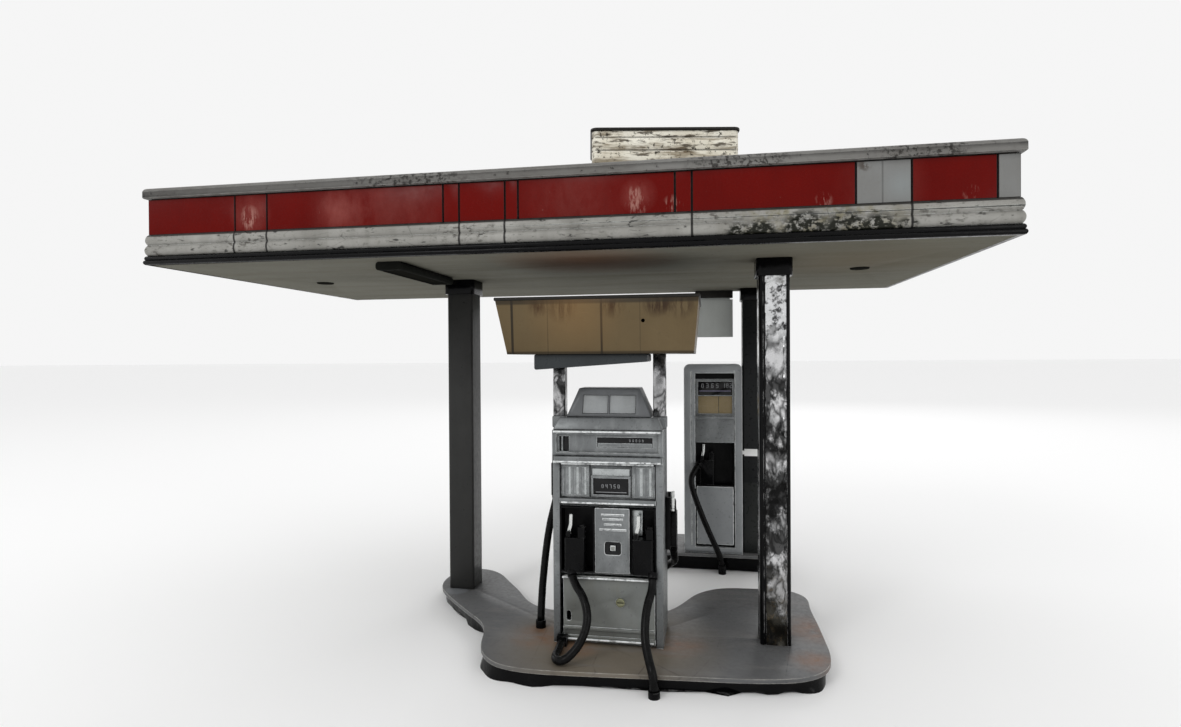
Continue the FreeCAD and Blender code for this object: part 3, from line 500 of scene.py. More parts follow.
def red_panel():
    """Semi-gloss red with faded blooms, a painted pale sheen, a pale patch and small chips along the front.
    """
    finish = painted("red_panel", tone(96, 10, 6), tone(76, 8, 6), None, 0.24, streaks=0.25, specks=0.2,
                     corner_shade=0.6, specular=0.06)
    # Faded blooms, and one painted pale sheen at x -100.
    for x, z, reach, size, share in FADES_AND_SHEEN:
        finish.mottle(share, tone(196, 128, 120), ((x, PANEL_FRONT, z), reach, 1.0),
                      (size, 0.3, 0.7, (1, 1, 0.5)))
    for x, z, reach in CHIPS:
        finish.mottle(0.6, tone(170, 128, 118), ((x, PANEL_FRONT, z), reach, 0.7),
                      (3.2, 0.5, 0.6, (1.5, 1, 0.4)))
    finish.blots(0.6, tone(132, 96, 90), 1.6, 0.68, 0.72, (1, 1, 0.5))
    return finish


def seam_black():
    finish = Finish("seam_black", tone(13, 11, 10), 0.4)
    finish.blots(0.7, tone(60, 40, 36), 4.0, 0.55, 0.66)
    finish.relief(finish.noise(2.0), 0.05, 0.5)
    return finish


def blank_panel():
    finish = painted("blank_panel", tone(124, 125, 124), tone(108, 107, 104), None, 0.3, streaks=0.35,
                     specks=0.4, specular=0.08)
    finish.patch(0.5, tone(128, 108, 98), (133, MOULDING_FRONT, 229), 9, 0.8)
    finish.mottle(0.8, tone(70, 62, 56), ((143, MOULDING_FRONT, 231), 4, 0.6), (4.0, 0.4, 0.5))
    finish.strip(0.5, tone(66, 66, 64), "X", 150.4, 150.8, 0.3)
    finish.patch(0.4, tone(134, 142, 143), (158, MOULDING_FRONT, 222), 9, 0.8)
    return finish


def moulding():
    """White double bead, cracked and grimy, with painted shade in its corners and mildew along the right of
    the front.
    """
    finish = painted("moulding", tone(154, 153, 148), tone(100, 98, 92), tone(182, 184, 180), 0.32,
                     streaks=0.5, specks=0.6, wear_and_highlight_reach=0.6, corner_shade=0.75)
    dry = finish.between(finish.cracks(10.0, (0.5, 1, 1.4)), 0.0, 0.02, 0.85, 0.0)
    finish.layer(finish.product(dry, finish.specks(14.0, 0.5, 0.6), 0.7), tone(40, 38, 34))
    small = finish.specks(2.0, 0.54, 0.6, (0.6, 1, 1.2))
    speckled = finish.product(small, finish.specks(34.0, 0.48, 0.6), 0.85)
    finish.layer(speckled, tone(52, 48, 42))
    finish.blots(0.9, tone(28, 27, 25), 3.2, 0.59, 0.64, (0.45, 1, 1.2))
    finish.mottle(0.7, tone(118, 112, 88), ((125, MOULDING_FRONT, 206), 44, 0.6), (6.0, 0.46, 0.6))
    finish.strip(0.9, tone(22, 20, 18), "Z", 213.9, 216, 0.4)
    for x, reach in ((92, 7), (101, 8), (119, 12), (136, 11), (149, 9), (160, 6)):
        mildewed = finish.near((x, MOULDING_FRONT, 203), reach, 0.35)
        growth = finish.product(mildewed, finish.specks(2.2, 0.43, 0.5, (0.8, 1, 1)))
        finish.layer(growth, tone(20, 21, 12))
    for seam in (-154.0, -136.0, -36.0, -14.0, 71.5, 162.0):
        finish.strip(0.95, tone(16, 15, 14), "X", seam - 0.35, seam + 0.35, 0.3)
    return finish


def coping():
    finish = painted("coping", tone(114, 113, 110), tone(86, 83, 79), tone(134, 133, 130), 0.45,
                     streaks=0.15, specks=0.5, wear_and_highlight_reach=0.7)
    finish.blots(0.9, tone(30, 28, 26), 2.6, 0.63, 0.67)
    finish.blots(0.5, tone(82, 78, 74), 16.0, 0.52, 0.66, (0.4, 1, 1))
    for x, reach in ((92, 26), (160, 14), (-60, 34), (176, 10)):
        finish.mottle(0.9, tone(34, 31, 28), ((x, COPING_FRONT, 238), reach, 0.5), (2.2, 0.5, 0.56))
    finish.relief(finish.noise(4.0, 5.0), 0.2, 0.7)
    return finish


SOFFIT_LEVEL = 200


def soffit():
    finish = painted("soffit", tone(110, 109, 100), tone(94, 93, 84), None, 0.8, drift=60.0, streaks=0.0,
                     specks=0.2, corner_shade=0.4, specular=0.02)
    finish.blots(0.4, tone(88, 84, 72), 40.0, 0.45, 0.65, (0.3, 2.0, 1))
    low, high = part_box("sign_box")
    glow = ((low.x + high.x) / 2 / MM - 8, low.y / MM + 20, SOFFIT_LEVEL)
    finish.patch(0.45, tone(136, 80, 40), glow, 50, 1.0)
    finish.patch(0.5, tone(100, 88, 68), (150, -50, SOFFIT_LEVEL), 70, 1.0)
    finish.blots(0.5, tone(52, 50, 42), 3.0, 0.64, 0.7)
    return finish


def roof_box():
    finish = painted("roof_box", tone(246, 243, 230), tone(196, 186, 162), tone(252, 250, 244), 0.4,
                     streaks=0.5, specks=0.8)
    finish.blots(0.9, tone(66, 56, 42), 7.0, 0.54, 0.6, (0.4, 1, 2.2))
    finish.blots(0.7, tone(120, 104, 78), 11.0, 0.5, 0.6, (0.3, 1, 3.0))
    finish.blots(0.9, tone(22, 19, 15), 2.6, 0.57, 0.63)
    return finish


def roof_grey():
    finish = painted("roof_grey", tone(112, 109, 102), tone(70, 66, 60), None, 0.8, drift=70.0, streaks=0.0)
    finish.blots(0.5, tone(62, 58, 50), 30.0, 0.5, 0.62)
    finish.relief(finish.noise(2.0, 5.0), 0.2, 0.7)
    return finish


def sign_tan():
    """Khaki panels with dark seams, brown runs from the top edge and a damp foot."""
    finish = painted("sign_tan", tone(98, 83, 57), tone(80, 66, 44), tone(126, 110, 80), 0.34,
                     streaks=0.25, specks=0.3, wear_and_highlight_reach=0.6)
    low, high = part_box("sign_box")
    base, top, face = low.z / MM, high.z / MM, low.y / MM
    for x, reach in ((54, 7), (58, 6), (66, 8), (10, 9), (-2, 6), (34, 7)):
        wet = finish.near((x, face, top - 3), reach, 0.8)
        run = finish.product(wet, finish.specks(2.4, 0.42, 0.56, (1, 1, 0.15)))
        finish.layer(run, tone(52, 36, 20))
    for seam, width, share in ((-15.0, 0.5, 0.9), (2.6, 0.1, 0.5), (28.7, 0.4, 0.9), (47.0, 0.1, 0.35)):
        finish.strip(share, tone(34, 28, 18), "X", seam - width, seam + width, 0.25)
    finish.strip(0.75, tone(36, 30, 20), "Z", top - 1.6, top + 2, 0.8)
    finish.patch(0.35, tone(138, 104, 62), ((low.x + high.x) / 2 / MM - 10, face, top - 4), 26, 1.0)
    finish.strip(0.75, tone(30, 25, 17), "Z", base - 1, base + 0.8, 0.8)
    return finish


def display_glass():
    finish = Finish("display_glass", tone(11, 11, 13), 0.1, specular=0.25)
    finish.blots(0.4, tone(26, 26, 28), 4.0, 0.5, 0.7)
    finish.rough(finish.noise(6.0), 0.06, 0.22)
    return finish


def rubber():
    finish = Finish("hose_rubber", tone(8, 8, 8), 0.22, specular=0.1)
    finish.blots(0.5, tone(28, 28, 28), 3.0, 0.52, 0.66)
    finish.rough(finish.noise(2.6, 4.0), 0.14, 0.42)
    finish.relief(finish.noise(2.4, 4.0), 0.1, 0.6)
    return finish


def bright_metal(name, colour, dirt, roughness, share):
    finish = Finish(name, colour, roughness, 0.9)
    finish.blots(share, dirt, 3.0, 0.52, 0.66)
    # Painted shade: near-black laid into the hollows.
    finish.layer(finish.product(finish.hollows(2.0), 0.8), tone(16, 16, 16))
    finish.rough(finish.noise(3.0, 4.0), roughness - 0.08, roughness + 0.2)
    finish.relief(finish.noise(5.0, 3.0), 0.12, 0.5)
    return finish


def dark_column():
    finish = painted("column_dark", tone(26, 28, 30), tone(18, 19, 20), tone(56, 58, 60), 0.3, wear_and_highlight_reach=0.6)
    finish.strip(0.8, tone(42, 44, 43), "Z", 0, 62, 0.4)
    finish.blots(0.4, tone(46, 46, 44), 14.0, 0.5, 0.7, (1, 1, 0.2))
    return finish


GLOSS_BLACKS = (  # name, roughness, size of the lumps, their height, tone of the rims
    ("collar_black", 0.12, 8.0, 0.3, 96), ("drip_black", 0.2, 9.0, 0.3, 34),
    ("column_edge", 0.1, 12.0, 0.4, 150), ("boot_black", 0.32, 4.0, 0.15, 40),
    ("nozzle_black", 0.18, 6.0, 0.3, 80), ("ferrule", 0.25, 4.0, 0.15, 96),
)
PAINTS = (  # name, colour, dirt, pale edges (worn paint and painted highlight), roughness, and what differs from plain paint
    ("column_grey", (50, 50, 49), (34, 34, 33), (84, 84, 82), 0.34, {"wear_and_highlight_reach": 0.8}),
    ("tag_white", (254, 254, 254), (226, 226, 224), None, 0.35, {"corner_shade": 0.2}),
    ("canopy_board", (66, 63, 60), (44, 42, 40), None, 0.7, {}),
    ("lamp_dark", (28, 29, 26), (20, 20, 18), None, 0.7, {"specular": 0.02}),
    ("lamp_lens", (30, 30, 27), (24, 24, 21), None, 0.8, {"specular": 0.0}),
    ("trim_dark", (34, 32, 29), (20, 19, 17), (84, 82, 76), 0.34, {}),
    ("pale_panel", (200, 204, 201), (172, 175, 172), (222, 226, 222), 0.4, {}),
    ("topper_glass", (150, 153, 154), (130, 132, 132), (190, 192, 192), 0.25, {"drift": 12.0}),
    ("button_grey", (150, 152, 148), (90, 90, 86), (196, 196, 192), 0.35, {}),
    ("shelf_blue", (50, 54, 56), (36, 39, 40), (104, 110, 114), 0.3, {}),
    ("price_tan", (150, 134, 102), (118, 104, 76), (180, 166, 134), 0.3, {}),
    ("digit_pale", (150, 152, 154), (96, 96, 98), None, 0.4, {"corner_shade": 0.0}),
    ("mark_lavender", (128, 124, 146), (98, 94, 112), None, 0.4, {"corner_shade": 0.0}),
)
METALS = (  # name, colour, dirt, roughness, share of dirt
    ("screw_steel", (170, 170, 168), (96, 92, 86), 0.24, 0.5),
    ("fluted_metal", (172, 176, 176), (110, 112, 112), 0.22, 0.4),
    ("lock_brass", (134, 134, 108), (96, 94, 70), 0.3, 0.5),
    ("lever_metal", (208, 210, 208), (120, 122, 120), 0.2, 0.5),
)


def make_finishes():
    made = [
        pump_grey(), door_grey(), rear_door_grey(), rim_wear_and_highlight(), topper_grey(), slab(),
        gloss_black("curb", 0.12, 12.0, 1.0, 96),
        worn_chrome("column_chrome", 8, ((72, 88), (104, 114)), 0.45, 206),
        worn_chrome("post_chrome", 60, (), 0.3, 176), red_panel(), seam_black(), blank_panel(), moulding(),
        coping(), soffit(), roof_box(), roof_grey(), sign_tan(), display_glass(), rubber(), dark_column(),
    ]
    made += [gloss_black(*values) for values in GLOSS_BLACKS]
    for name, colour, dirt, worn, roughness, rest in PAINTS:
        made.append(painted(name, tone(*colour), tone(*dirt), worn and tone(*worn), roughness, **rest))
    for name, colour, dirt, roughness, share in METALS:
        made.append(bright_metal(name, tone(*colour), tone(*dirt), roughness, share))
    return {finish.name: finish.material for finish in made}


make_camera()
make_stage()
FINISH = make_finishes()
SLOT_OF = {part["node"]: part["material_slot"] for part in frame["record"]["subparts"]}
BODY_OF = {node: body for body, nodes in frame["record"]["behaviour"]["bodies"].items() for node in nodes}


# ---------------------------------------------------------------- hoses

HOSE_R = 2.0
HOSE_SIDES = 16
HOSE_ROUTES = {
    "front_left": ((11.9, -86.2, 43.0), (13.2, -88.9, 40.3), (19.4, -95.3, 35.8), (22.4, -100.8, 27.2),
                   (19.4, -104.8, 18.2), (15.0, -107.6, 13.2), (11.6, -108.9, 11.0), (8.2, -107.2, 10.3),
                   (6.6, -102.8, 10.3), (6.9, -96.0, 10.4), (6.4, -87.2, 10.4)),
    "front_right": ((51.4, -86.4, 43.4), (51.5, -89.0, 39.6), (49.9, -93.2, 35.2), (48.9, -97.5, 29.8),
                    (48.8, -101.5, 23.9), (49.6, -105.0, 18.8), (51.2, -108.6, 14.4),
                    (52.9, -112.2, 11.0), (53.9, -113.6, 7.0), (54.0, -113.6, 3.0)),
    "side_left": ((-2.7, -58.0, 75.2), (-4.0, -58.1, 69.6), (-6.0, -58.3, 62.0), (-7.9, -59.0, 50.0),
                  (-9.1, -60.3, 37.0), (-9.9, -62.4, 24.0), (-9.7, -65.4, 12.0)),
    "side_right": ((59.9, -56.4, 50.4), (60.3, -53.4, 45.8), (60.2, -47.8, 41.2), (56.2, -42.6, 37.2),
                   (50.6, -40.4, 32.8), (45.8, -40.1, 26.8), (42.4, -39.8, 19.8), (41.6, -40.0, 12.0)),
    "rear": ((71.2, 64.3, 74.8), (68.7, 60.6, 71.8), (66.0, 57.6, 65.6), (68.2, 57.2, 56.8),
             (72.6, 57.7, 44.6), (77.6, 58.6, 32.0), (82.6, 60.0, 20.5), (86.2, 61.6, 12.2),
             (87.6, 62.6, 5.5)),
}


def smooth_line(points):
    """Points along the NURBS line that has the route's points as its control points."""
    curve = bpy.data.curves.new("route", "CURVE")
    curve.dimensions = "3D"
    curve.resolution_u = 10
    spline = curve.splines.new("NURBS")
    spline.points.add(len(points) - 1)
    for target, point in zip(spline.points, points):
        target.co = (*point, 1.0)
    spline.order_u = 3
    spline.use_endpoint_u = True
    carrier = bpy.data.objects.new("route", curve)
    mesh = bpy.data.meshes.new_from_object(carrier)
    line = [vertex.co.copy() for vertex in mesh.vertices]
    bpy.data.objects.remove(carrier)
    bpy.data.curves.remove(curve)
    bpy.data.meshes.remove(mesh)
    return line


def tube_mesh(name, line, radius):
    """A closed tube round a line, with frames carried along without twist."""
    bm = bmesh.new()
    rings = []
    tangents = []
    for index in range(len(line)):
        before, after = line[max(index - 1, 0)], line[min(index + 1, len(line) - 1)]
        tangents.append((after - before).normalized())
    side = tangents[0].orthogonal().normalized()
    for index, point in enumerate(line):
        tangent = tangents[index]
        side = (side - tangent * side.dot(tangent)).normalized()
        other = tangent.cross(side)
        ring = []
        for step in range(HOSE_SIDES):
            angle = 2 * math.pi * step / HOSE_SIDES
            ring.append(bm.verts.new(point + (side * math.cos(angle) + other * math.sin(angle)) * radius))
        rings.append(ring)
    for low, high in zip(rings, rings[1:]):
        for step in range(HOSE_SIDES):
            following = (step + 1) % HOSE_SIDES
            bm.faces.new((low[step], low[following], high[following], high[step])).smooth = True
    bm.faces.new(rings[0][::-1])
    bm.faces.new(rings[-1])
    return link_mesh(name, bm)


def make_hoses():
    for name, route in HOSE_ROUTES.items():
        line = smooth_line([Vector(point) * MM for point in route])
        piece = tube_mesh(name + "_hose_tube", line, HOSE_R * MM)
        piece.data.materials.append(FINISH["hose_rubber"])
        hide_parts(name + "_hose")
        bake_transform(piece)


# ---------------------------------------------------------------- small mesh builders

def add_box(bm, low, high, material=0):
    """A box in millimetres."""
    corners = [bm.verts.new((x * MM, y * MM, z * MM)) for x in (low[0], high[0]) for y in (low[1], high[1])
               for z in (low[2], high[2])]
    for loop in ((0, 1, 3, 2), (4, 6, 7, 5), (0, 4, 5, 1), (2, 3, 7, 6), (0, 2, 6, 4), (1, 5, 7, 3)):
        bm.faces.new([corners[index] for index in loop]).material_index = material


def extrude_outline(bm, outline, levels, place):
    """Rings of one outline at several levels, closed at both ends; place(point, level) gives each vertex."""
    rings = [[bm.verts.new(place(point, level)) for point in outline] for level in levels]
    for low, high in zip(rings, rings[1:]):
        for index in range(len(outline)):
            after = (index + 1) % len(outline)
            bm.faces.new((low[index], low[after], high[after], high[index])).smooth = True
    bm.faces.new(rings[0][::-1])
    bm.faces.new(rings[-1])


def millimetre_box(node):
    low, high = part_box(node)
    return [value / MM for value in low], [value / MM for value in high]


def islands(bm):
    """The separate solids of a mesh, as lists of faces."""
    left = set(bm.faces)
    found = []
    while left:
        stack = [left.pop()]
        group = []
        while stack:
            face = stack.pop()
            group.append(face)
            for edge in face.edges:
                for other in edge.link_faces:
                    if other in left:
                        left.remove(other)
                        stack.append(other)
        found.append(group)
    return found


def faces_box(faces):
    points = [vertex.co / MM for face in faces for vertex in face.verts]
    low = [min(point[axis] for point in points) for axis in range(3)]
    high = [max(point[axis] for point in points) for axis in range(3)]
    return low, high


def paint_inside(piece, low, high, material):
    """Give the faces whose middle lies in a box, in millimetres, another material."""
    piece.data.materials.append(material)
    index = len(piece.data.materials) - 1
    for polygon in piece.data.polygons:
        middle = polygon.center / MM
        if all(low[axis] <= middle[axis] <= high[axis] for axis in range(3)):
            polygon.material_index = index


# ---------------------------------------------------------------- islands

CURB_RINGS = (0.12, 0.3, 0.5, 0.7, 0.88)
WAVE_SIZE, WAVE_DEPTH = 15, 5.5
LUMP_SIZE, LUMP_DEPTH = 7, 0.4


def make_wavy_curb(node):
    """The glossy curb, with an uneven face and a foot that lifts off the ground here and there."""
    bm = node_bmesh(node)
    low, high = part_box(node)
    middle = (low + high) / 2
    for share in CURB_RINGS:
        level = Vector((0, 0, low.z + (high.z - low.z) * share))
        geometry = bm.verts[:] + bm.edges[:] + bm.faces[:]
        bmesh.ops.bisect_plane(bm, geom=geometry, plane_co=level, plane_no=(0, 0, 1))
    bm.normal_update()
    for vertex in bm.verts:
        share = (vertex.co.z - low.z) / (high.z - low.z)
        outward = vertex.co - middle
        side = Vector((vertex.normal.x, vertex.normal.y, 0))
        if side.length < 0.3 or share > 0.95 or side.dot(outward) < 0:
            continue
        wave = noise.noise(Vector((vertex.co.x, vertex.co.y, 0)) / (WAVE_SIZE * MM))
        lump = noise.noise(vertex.co / (LUMP_SIZE * MM))
        outwards = LUMP_DEPTH * lump - LUMP_DEPTH + (1 - share) * (WAVE_DEPTH * wave - 0.6)
        vertex.co += side.normalized() * outwards * MM
        if share < 0.1:
            vertex.co.z += max(0.0, 0.4 - 1.6 * wave) * MM
    piece = link_mesh(node + "_shape", bm)
    piece.data.shade_smooth()
    piece.data.set_sharp_from_angle(angle=math.radians(50))
    dress(piece, FINISH["curb"], STRUCTURE, (node,))


# ---------------------------------------------------------------- columns

GROOVE_OUT, GROOVE_IN, GROOVE_DEEP, GROOVE_SLOPE = 0.74, 0.58, 0.08, 0.02
COLUMN_CORNER, COLUMN_RING, DENT_SIZE = 1.6, 1.5, 6.5


def channel_outline(half):
    """Outline of a square column; each face has a shallow groove on either side of its middle plate."""
    marks = [(GROOVE_OUT, 0), (GROOVE_OUT - GROOVE_SLOPE, GROOVE_DEEP),
             (GROOVE_IN + GROOVE_SLOPE, GROOVE_DEEP), (GROOVE_IN, 0)]
    centre = half - COLUMN_CORNER
    outline = []
    for quarter in range(4):
        turn = Matrix.Rotation(quarter * math.pi / 2, 2)
        side = [(-centre, -half)]
        side += [(-share * half, -half * (1 - deep)) for share, deep in marks]
        side += [(share * half, -half) for share in (-0.42, -0.2, 0.0, 0.2, 0.42)]
        side += [(share * half, -half * (1 - deep)) for share, deep in reversed(marks)]
        side.append((centre, -half))
        for step in range(1, 5):
            angle = -math.pi / 2 + step * math.pi / 10
            side.append((centre + COLUMN_CORNER * math.cos(angle), -centre + COLUMN_CORNER * math.sin(angle)))
        outline += [turn @ Vector(point) for point in side]
    return outline


def make_plated_column(node, finish, dents):
    """A dented bright middle plate on each face, between black corner strips; dents is their depth."""
    low, high = millimetre_box(node)
    half = (high[0] - low[0]) / 2
    centre = Vector(((low[0] + high[0]) / 2, (low[1] + high[1]) / 2))
    count = int((high[2] - low[2]) / COLUMN_RING)
    levels = [low[2] + (high[2] - low[2]) * index / count for index in range(count + 1)]

    def place(point, level):
        dent = 0.0
        if max(abs(point.x), abs(point.y)) > half * 0.97 and min(abs(point.x), abs(point.y)) < half * 0.6:
            here = Vector((point.x, point.y, level * 0.8)) / DENT_SIZE
            dent = dents * max(0.0, noise.noise(here + Vector((centre.x, centre.y, 0))) + 0.1)
        inward = 1 - dent / half
        return Vector((centre.x + point.x * inward, centre.y + point.y * inward, level)) * MM

    bm = bmesh.new()
    extrude_outline(bm, channel_outline(half), levels, place)
    piece = link_mesh(node + "_shape", bm)
    piece.data.materials.append(finish)
    piece.data.materials.append(FINISH["column_edge"])
    for polygon in piece.data.polygons:
        away = polygon.center / MM - Vector((*centre, 0))
        across = min(abs(away.x), abs(away.y))
        bright_groove = away.y < -half * 0.85 and half * GROOVE_IN < away.x < half * GROOVE_OUT
        polygon.material_index = int(across > half * GROOVE_IN and not bright_groove)
    piece.data.set_sharp_from_angle(angle=math.radians(48))
    dress(piece, None, STRUCTURE, (node,))


# ---------------------------------------------------------------- dispenser details

SEGMENTS = {"0": "abcdef", "1": "bc", "2": "abged", "3": "abgcd", "4": "fgbc", "5": "afgcd", "6": "afgedc",
            "7": "abc", "8": "abcdefg", "9": "abcfgd"}


def add_digits(bm, text, left, base, height, y, pitch):
    """Seven-segment digits standing just proud of a display that faces -Y, in millimetres."""
    bar, wide = height * 0.13, height * 0.52
    half = height / 2
    strokes = {"a": (0, height - bar, wide, height), "g": (0, half - bar / 2, wide, half + bar / 2),
               "d": (0, 0, wide, bar), "f": (0, half, bar, height), "b": (wide - bar, half, wide, height),
               "e": (0, 0, bar, half), "c": (wide - bar, 0, wide, half)}
    for index, letter in enumerate(text):
        x = left + index * pitch
        for name in SEGMENTS.get(letter, ""):
            x0, z0, x1, z1 = strokes[name]
            add_box(bm, (x + x0, y - 0.06, base + z0), (x + x1, y + 0.02, base + z1))


def head_face():
    """How far forward the upper meter bezel's flat face stands."""
    bm = node_bmesh("meter_bezels")
    top = max(vertex.co.z for vertex in bm.verts)
    floor = top - 30 * MM
    flat = [face for face in bm.faces if face.normal.y < -0.99 and face.calc_center_median().z > floor]
    front = max(flat, key=lambda face: face.calc_area()).calc_center_median().y / MM
    bm.free()
    return front


def add_frame(bm, low, high, front, width, material):
    """Four thin bars round a window, standing 0.3 mm proud of the given front."""
    y0, y1 = front - 0.3, front + 0.1
    for x0, x1 in ((low[0] - width, low[0]), (high[0], high[0] + width)):
        add_box(bm, (x0, y0, low[2] - width), (x1, y1, high[2] + width), material)
    for z0, z1 in ((low[2] - width, low[2]), (high[2], high[2] + width)):
        add_box(bm, (low[0], y0, z0), (high[0], y1, z1), material)


PALE, TAN, LAVENDER, GREY, EDGE, METAL = range(6)
FIGURE_FINISHES = ("digit_pale", "price_tan", "mark_lavender", "pump_grey", "rim_wear_and_highlight", "fluted_metal")
PRINT_SUNK = 0.02


def add_print(bm, x_ends, z_ends, y, proud, material):
    """A flat mark that stands proud of a window whose face is at y."""
    add_box(bm, (x_ends[0], y - proud, z_ends[0]), (x_ends[1], y + PRINT_SUNK, z_ends[1]), material)


def add_price_lines(bm, low, high, first=1.6, pitch=3.6, thickness=0.22):
    for row in range(3):
        base = low[2] + first + row * pitch
        add_print(bm, (low[0] + 0.8, high[0] - 0.8), (base, base + thickness), low[1], 0.05, TAN)


def add_rear_figures(bm, low, high):
    base = high[2] - 4.6
    add_digits(bm, "0365", low[0] + 2.4, base, 3.2, low[1], 3.4)
    add_digits(bm, "182", low[0] + 17.0, base, 3.2, low[1], 2.5)
    add_print(bm, (low[0] + 1, high[0] - 1), (low[2] + 2.6, low[2] + 3.2), low[1], 0.05, LAVENDER)


def add_head_figures(bm, low, high, front):
    """The head's lower row, its digits, and bars round the window and the blank panel at its left."""
    add_print(bm, (low[0] + 0.3, high[0] - 0.3), (low[2] + 0.2, low[2] + 2.1), low[1], 0.2, GREY)
    add_digits(bm, "00000", low[0] + 16.0, high[2] - 2.2, 1.3, low[1], 1.6)
    add_frame(bm, low, high, front, 0.6, EDGE)
    add_frame(bm, (low[0] - 10.6, 0, low[2] + 0.2), (low[0] - 2.8, 0, high[2] - 0.2), front, 0.4, EDGE)


def add_money_figures(bm, low, high):
    """Digits, the bright plate above them and the line below them."""
    add_digits(bm, "04750", low[0] + 4.2, low[2] + 3.2, 1.9, low[1], 2.0)
    add_box(bm, (low[0] - 0.4, low[1] - 0.1, high[2] + 1.1),
            (high[0] + 0.4, low[1] + 0.4, high[2] + 4.6), METAL)
    add_print(bm, (low[0] + 1.2, high[0] - 1.2), (low[2] + 1.0, low[2] + 1.3), low[1], 0.05, PALE)


def make_displays():
    """Dark windows, the two tan price panels, and the figures on them."""
    bm = node_bmesh("display_windows")
    figures = bmesh.new()
    head_front = head_face()
    for group in islands(bm):
        low, high = faces_box(group)
        wide, tall, rear = high[0] - low[0], high[2] - low[2], low[1] > 0
        if rear and tall > 11:
            for face in group:
                face.material_index = 1
            add_price_lines(figures, low, high)
        elif rear:
            add_rear_figures(figures, low, high)
        elif wide > 24:
            add_head_figures(figures, low, high, head_front)
        elif wide > 10:
            add_money_figures(figures, low, high)
    windows = link_mesh("display_windows_shape", bm)
    windows.data.materials.append(FINISH["display_glass"])
    windows.data.materials.append(FINISH["price_tan"])
    soften(windows, 0.12)
    dress(windows, None, STRUCTURE, ("display_windows",))
    piece = link_mesh("display_figures", figures)
    for name in FIGURE_FINISHES:
        piece.data.materials.append(FINISH[name])
    dress(piece, None)


FLUTE_RIM, FLUTE_PITCH = 0.9, 2.2


def make_fluted_panels():
    """Two panels with upright flutes in a plain rim; the flutes are dull and bright by turns, the bright ones
    a painted highlight.
    """
    bm = bmesh.new()
    source = node_bmesh("fluted_panels")
    for group in islands(source):
        low, high = faces_box(group)
        add_box(bm, (low[0], low[1] + 0.3, low[2]), high)
        left, right = low[0] + FLUTE_RIM, high[0] - FLUTE_RIM
        for x0, x1 in ((low[0], left), (right, high[0])):
            add_box(bm, (x0, low[1], low[2]), (x1, low[1] + 0.4, high[2]))
        for z0, z1 in ((low[2], low[2] + FLUTE_RIM), (high[2] - FLUTE_RIM, high[2])):
            add_box(bm, (left, low[1], z0), (right, low[1] + 0.4, z1))
        count = max(3, round((right - left) / FLUTE_PITCH))
        for index in range(count):
            pitch = (right - left) / count
            # Every other flute gets the bright metal, a painted highlight along the ribs.
            add_flute(bm, low, high, left + pitch * (index + 0.5), 0.42 * pitch, index % 2)
    source.free()
    piece = link_mesh("fluted_panels_shape", bm)
    piece.data.set_sharp_from_angle(angle=math.radians(50))
    for name in ("pump_grey", "fluted_metal"):
        piece.data.materials.append(FINISH[name])
    dress(piece, None, STRUCTURE, ("fluted_panels",))


def add_flute(bm, low, high, centre, half, material):
    """A half-round upright rib."""
    first = len(bm.faces)
    angles = [math.pi * step / 8 for step in range(9)]
    outline = [(-half * math.cos(angle), -0.75 * math.sin(angle)) for angle in angles]

    def place(point, level):
        return Vector((centre + point[0], low[1] + 0.8 + point[1], level)) * MM

    extrude_outline(bm, outline, (low[2] + FLUTE_RIM, high[2] - FLUTE_RIM), place)
    bm.faces.ensure_lookup_table()
    for face in bm.faces[first:]:
        face.material_index = material


BEAD_R, BEAD_SIDES, BEAD_INSET = 0.5, 10, 0.9


def add_bead_pair(bm, low, high, up, down):
    """A bead along a box's front, up millimetres over its foot, and one down millimetres under its top."""
    for level in (low[2] + up, high[2] - down):
        ends = (low[0] + BEAD_INSET, high[0] - BEAD_INSET)
        add_bead(bm, *((x, low[1] + 0.15, level) for x in ends))


def make_head_beads():
    """Bright beads along the meter bezels and the service door, in the rim finish that is partly rubbed paint
    and partly a painted highlight.
    """
    bm = bmesh.new()
    source = node_bmesh("meter_bezels")
    for group in islands(source):
        add_bead_pair(bm, *faces_box(group), 0.6, 0.6)
    source.free()
    add_bead_pair(bm, *millimetre_box("front_service_door"), 1.2, 0.7)
    piece = link_mesh("head_beads", bm)
    piece.data.materials.append(FINISH["rim_wear_and_highlight"])
    dress(piece, None)


def add_bead(bm, start, end):
    """A straight round bead between two points."""
    start, end = Vector(start), Vector(end)
    along = (end - start).normalized()
    across = along.orthogonal().normalized()
    rings = []
    for place in (start, end):
        ring = []
        for step in range(BEAD_SIDES):
            turn = Matrix.Rotation(2 * math.pi * step / BEAD_SIDES, 3, along)
            ring.append(bm.verts.new((place + turn @ across * BEAD_R) * MM))
        rings.append(ring)
    for step in range(BEAD_SIDES):
        after = (step + 1) % BEAD_SIDES
        bm.faces.new((rings[0][step], rings[0][after], rings[1][after], rings[1][step]))
    bm.faces.new(rings[0][::-1])
    bm.faces.new(rings[1])


def make_bay_plate():
    """The mottled hook plate at the left of the right-hand bay, behind the lever."""
    nozzle = millimetre_box("front_right_nozzle")
    lever = millimetre_box("front_right_trigger")
    panel = millimetre_box("centre_panel")
    back = nozzle[1][1] + 0.6
    bm = bmesh.new()
    add_box(bm, (panel[1][0] + 0.6, back, nozzle[1][2] - 6), (panel[1][0] + 6.2, back + 1.0, lever[1][2] + 2))
    piece = link_mesh("bay_hook_plate", bm)
    piece.data.materials.append(FINISH["fluted_metal"])
    soften(piece, 0.4)
    dress(piece, None)


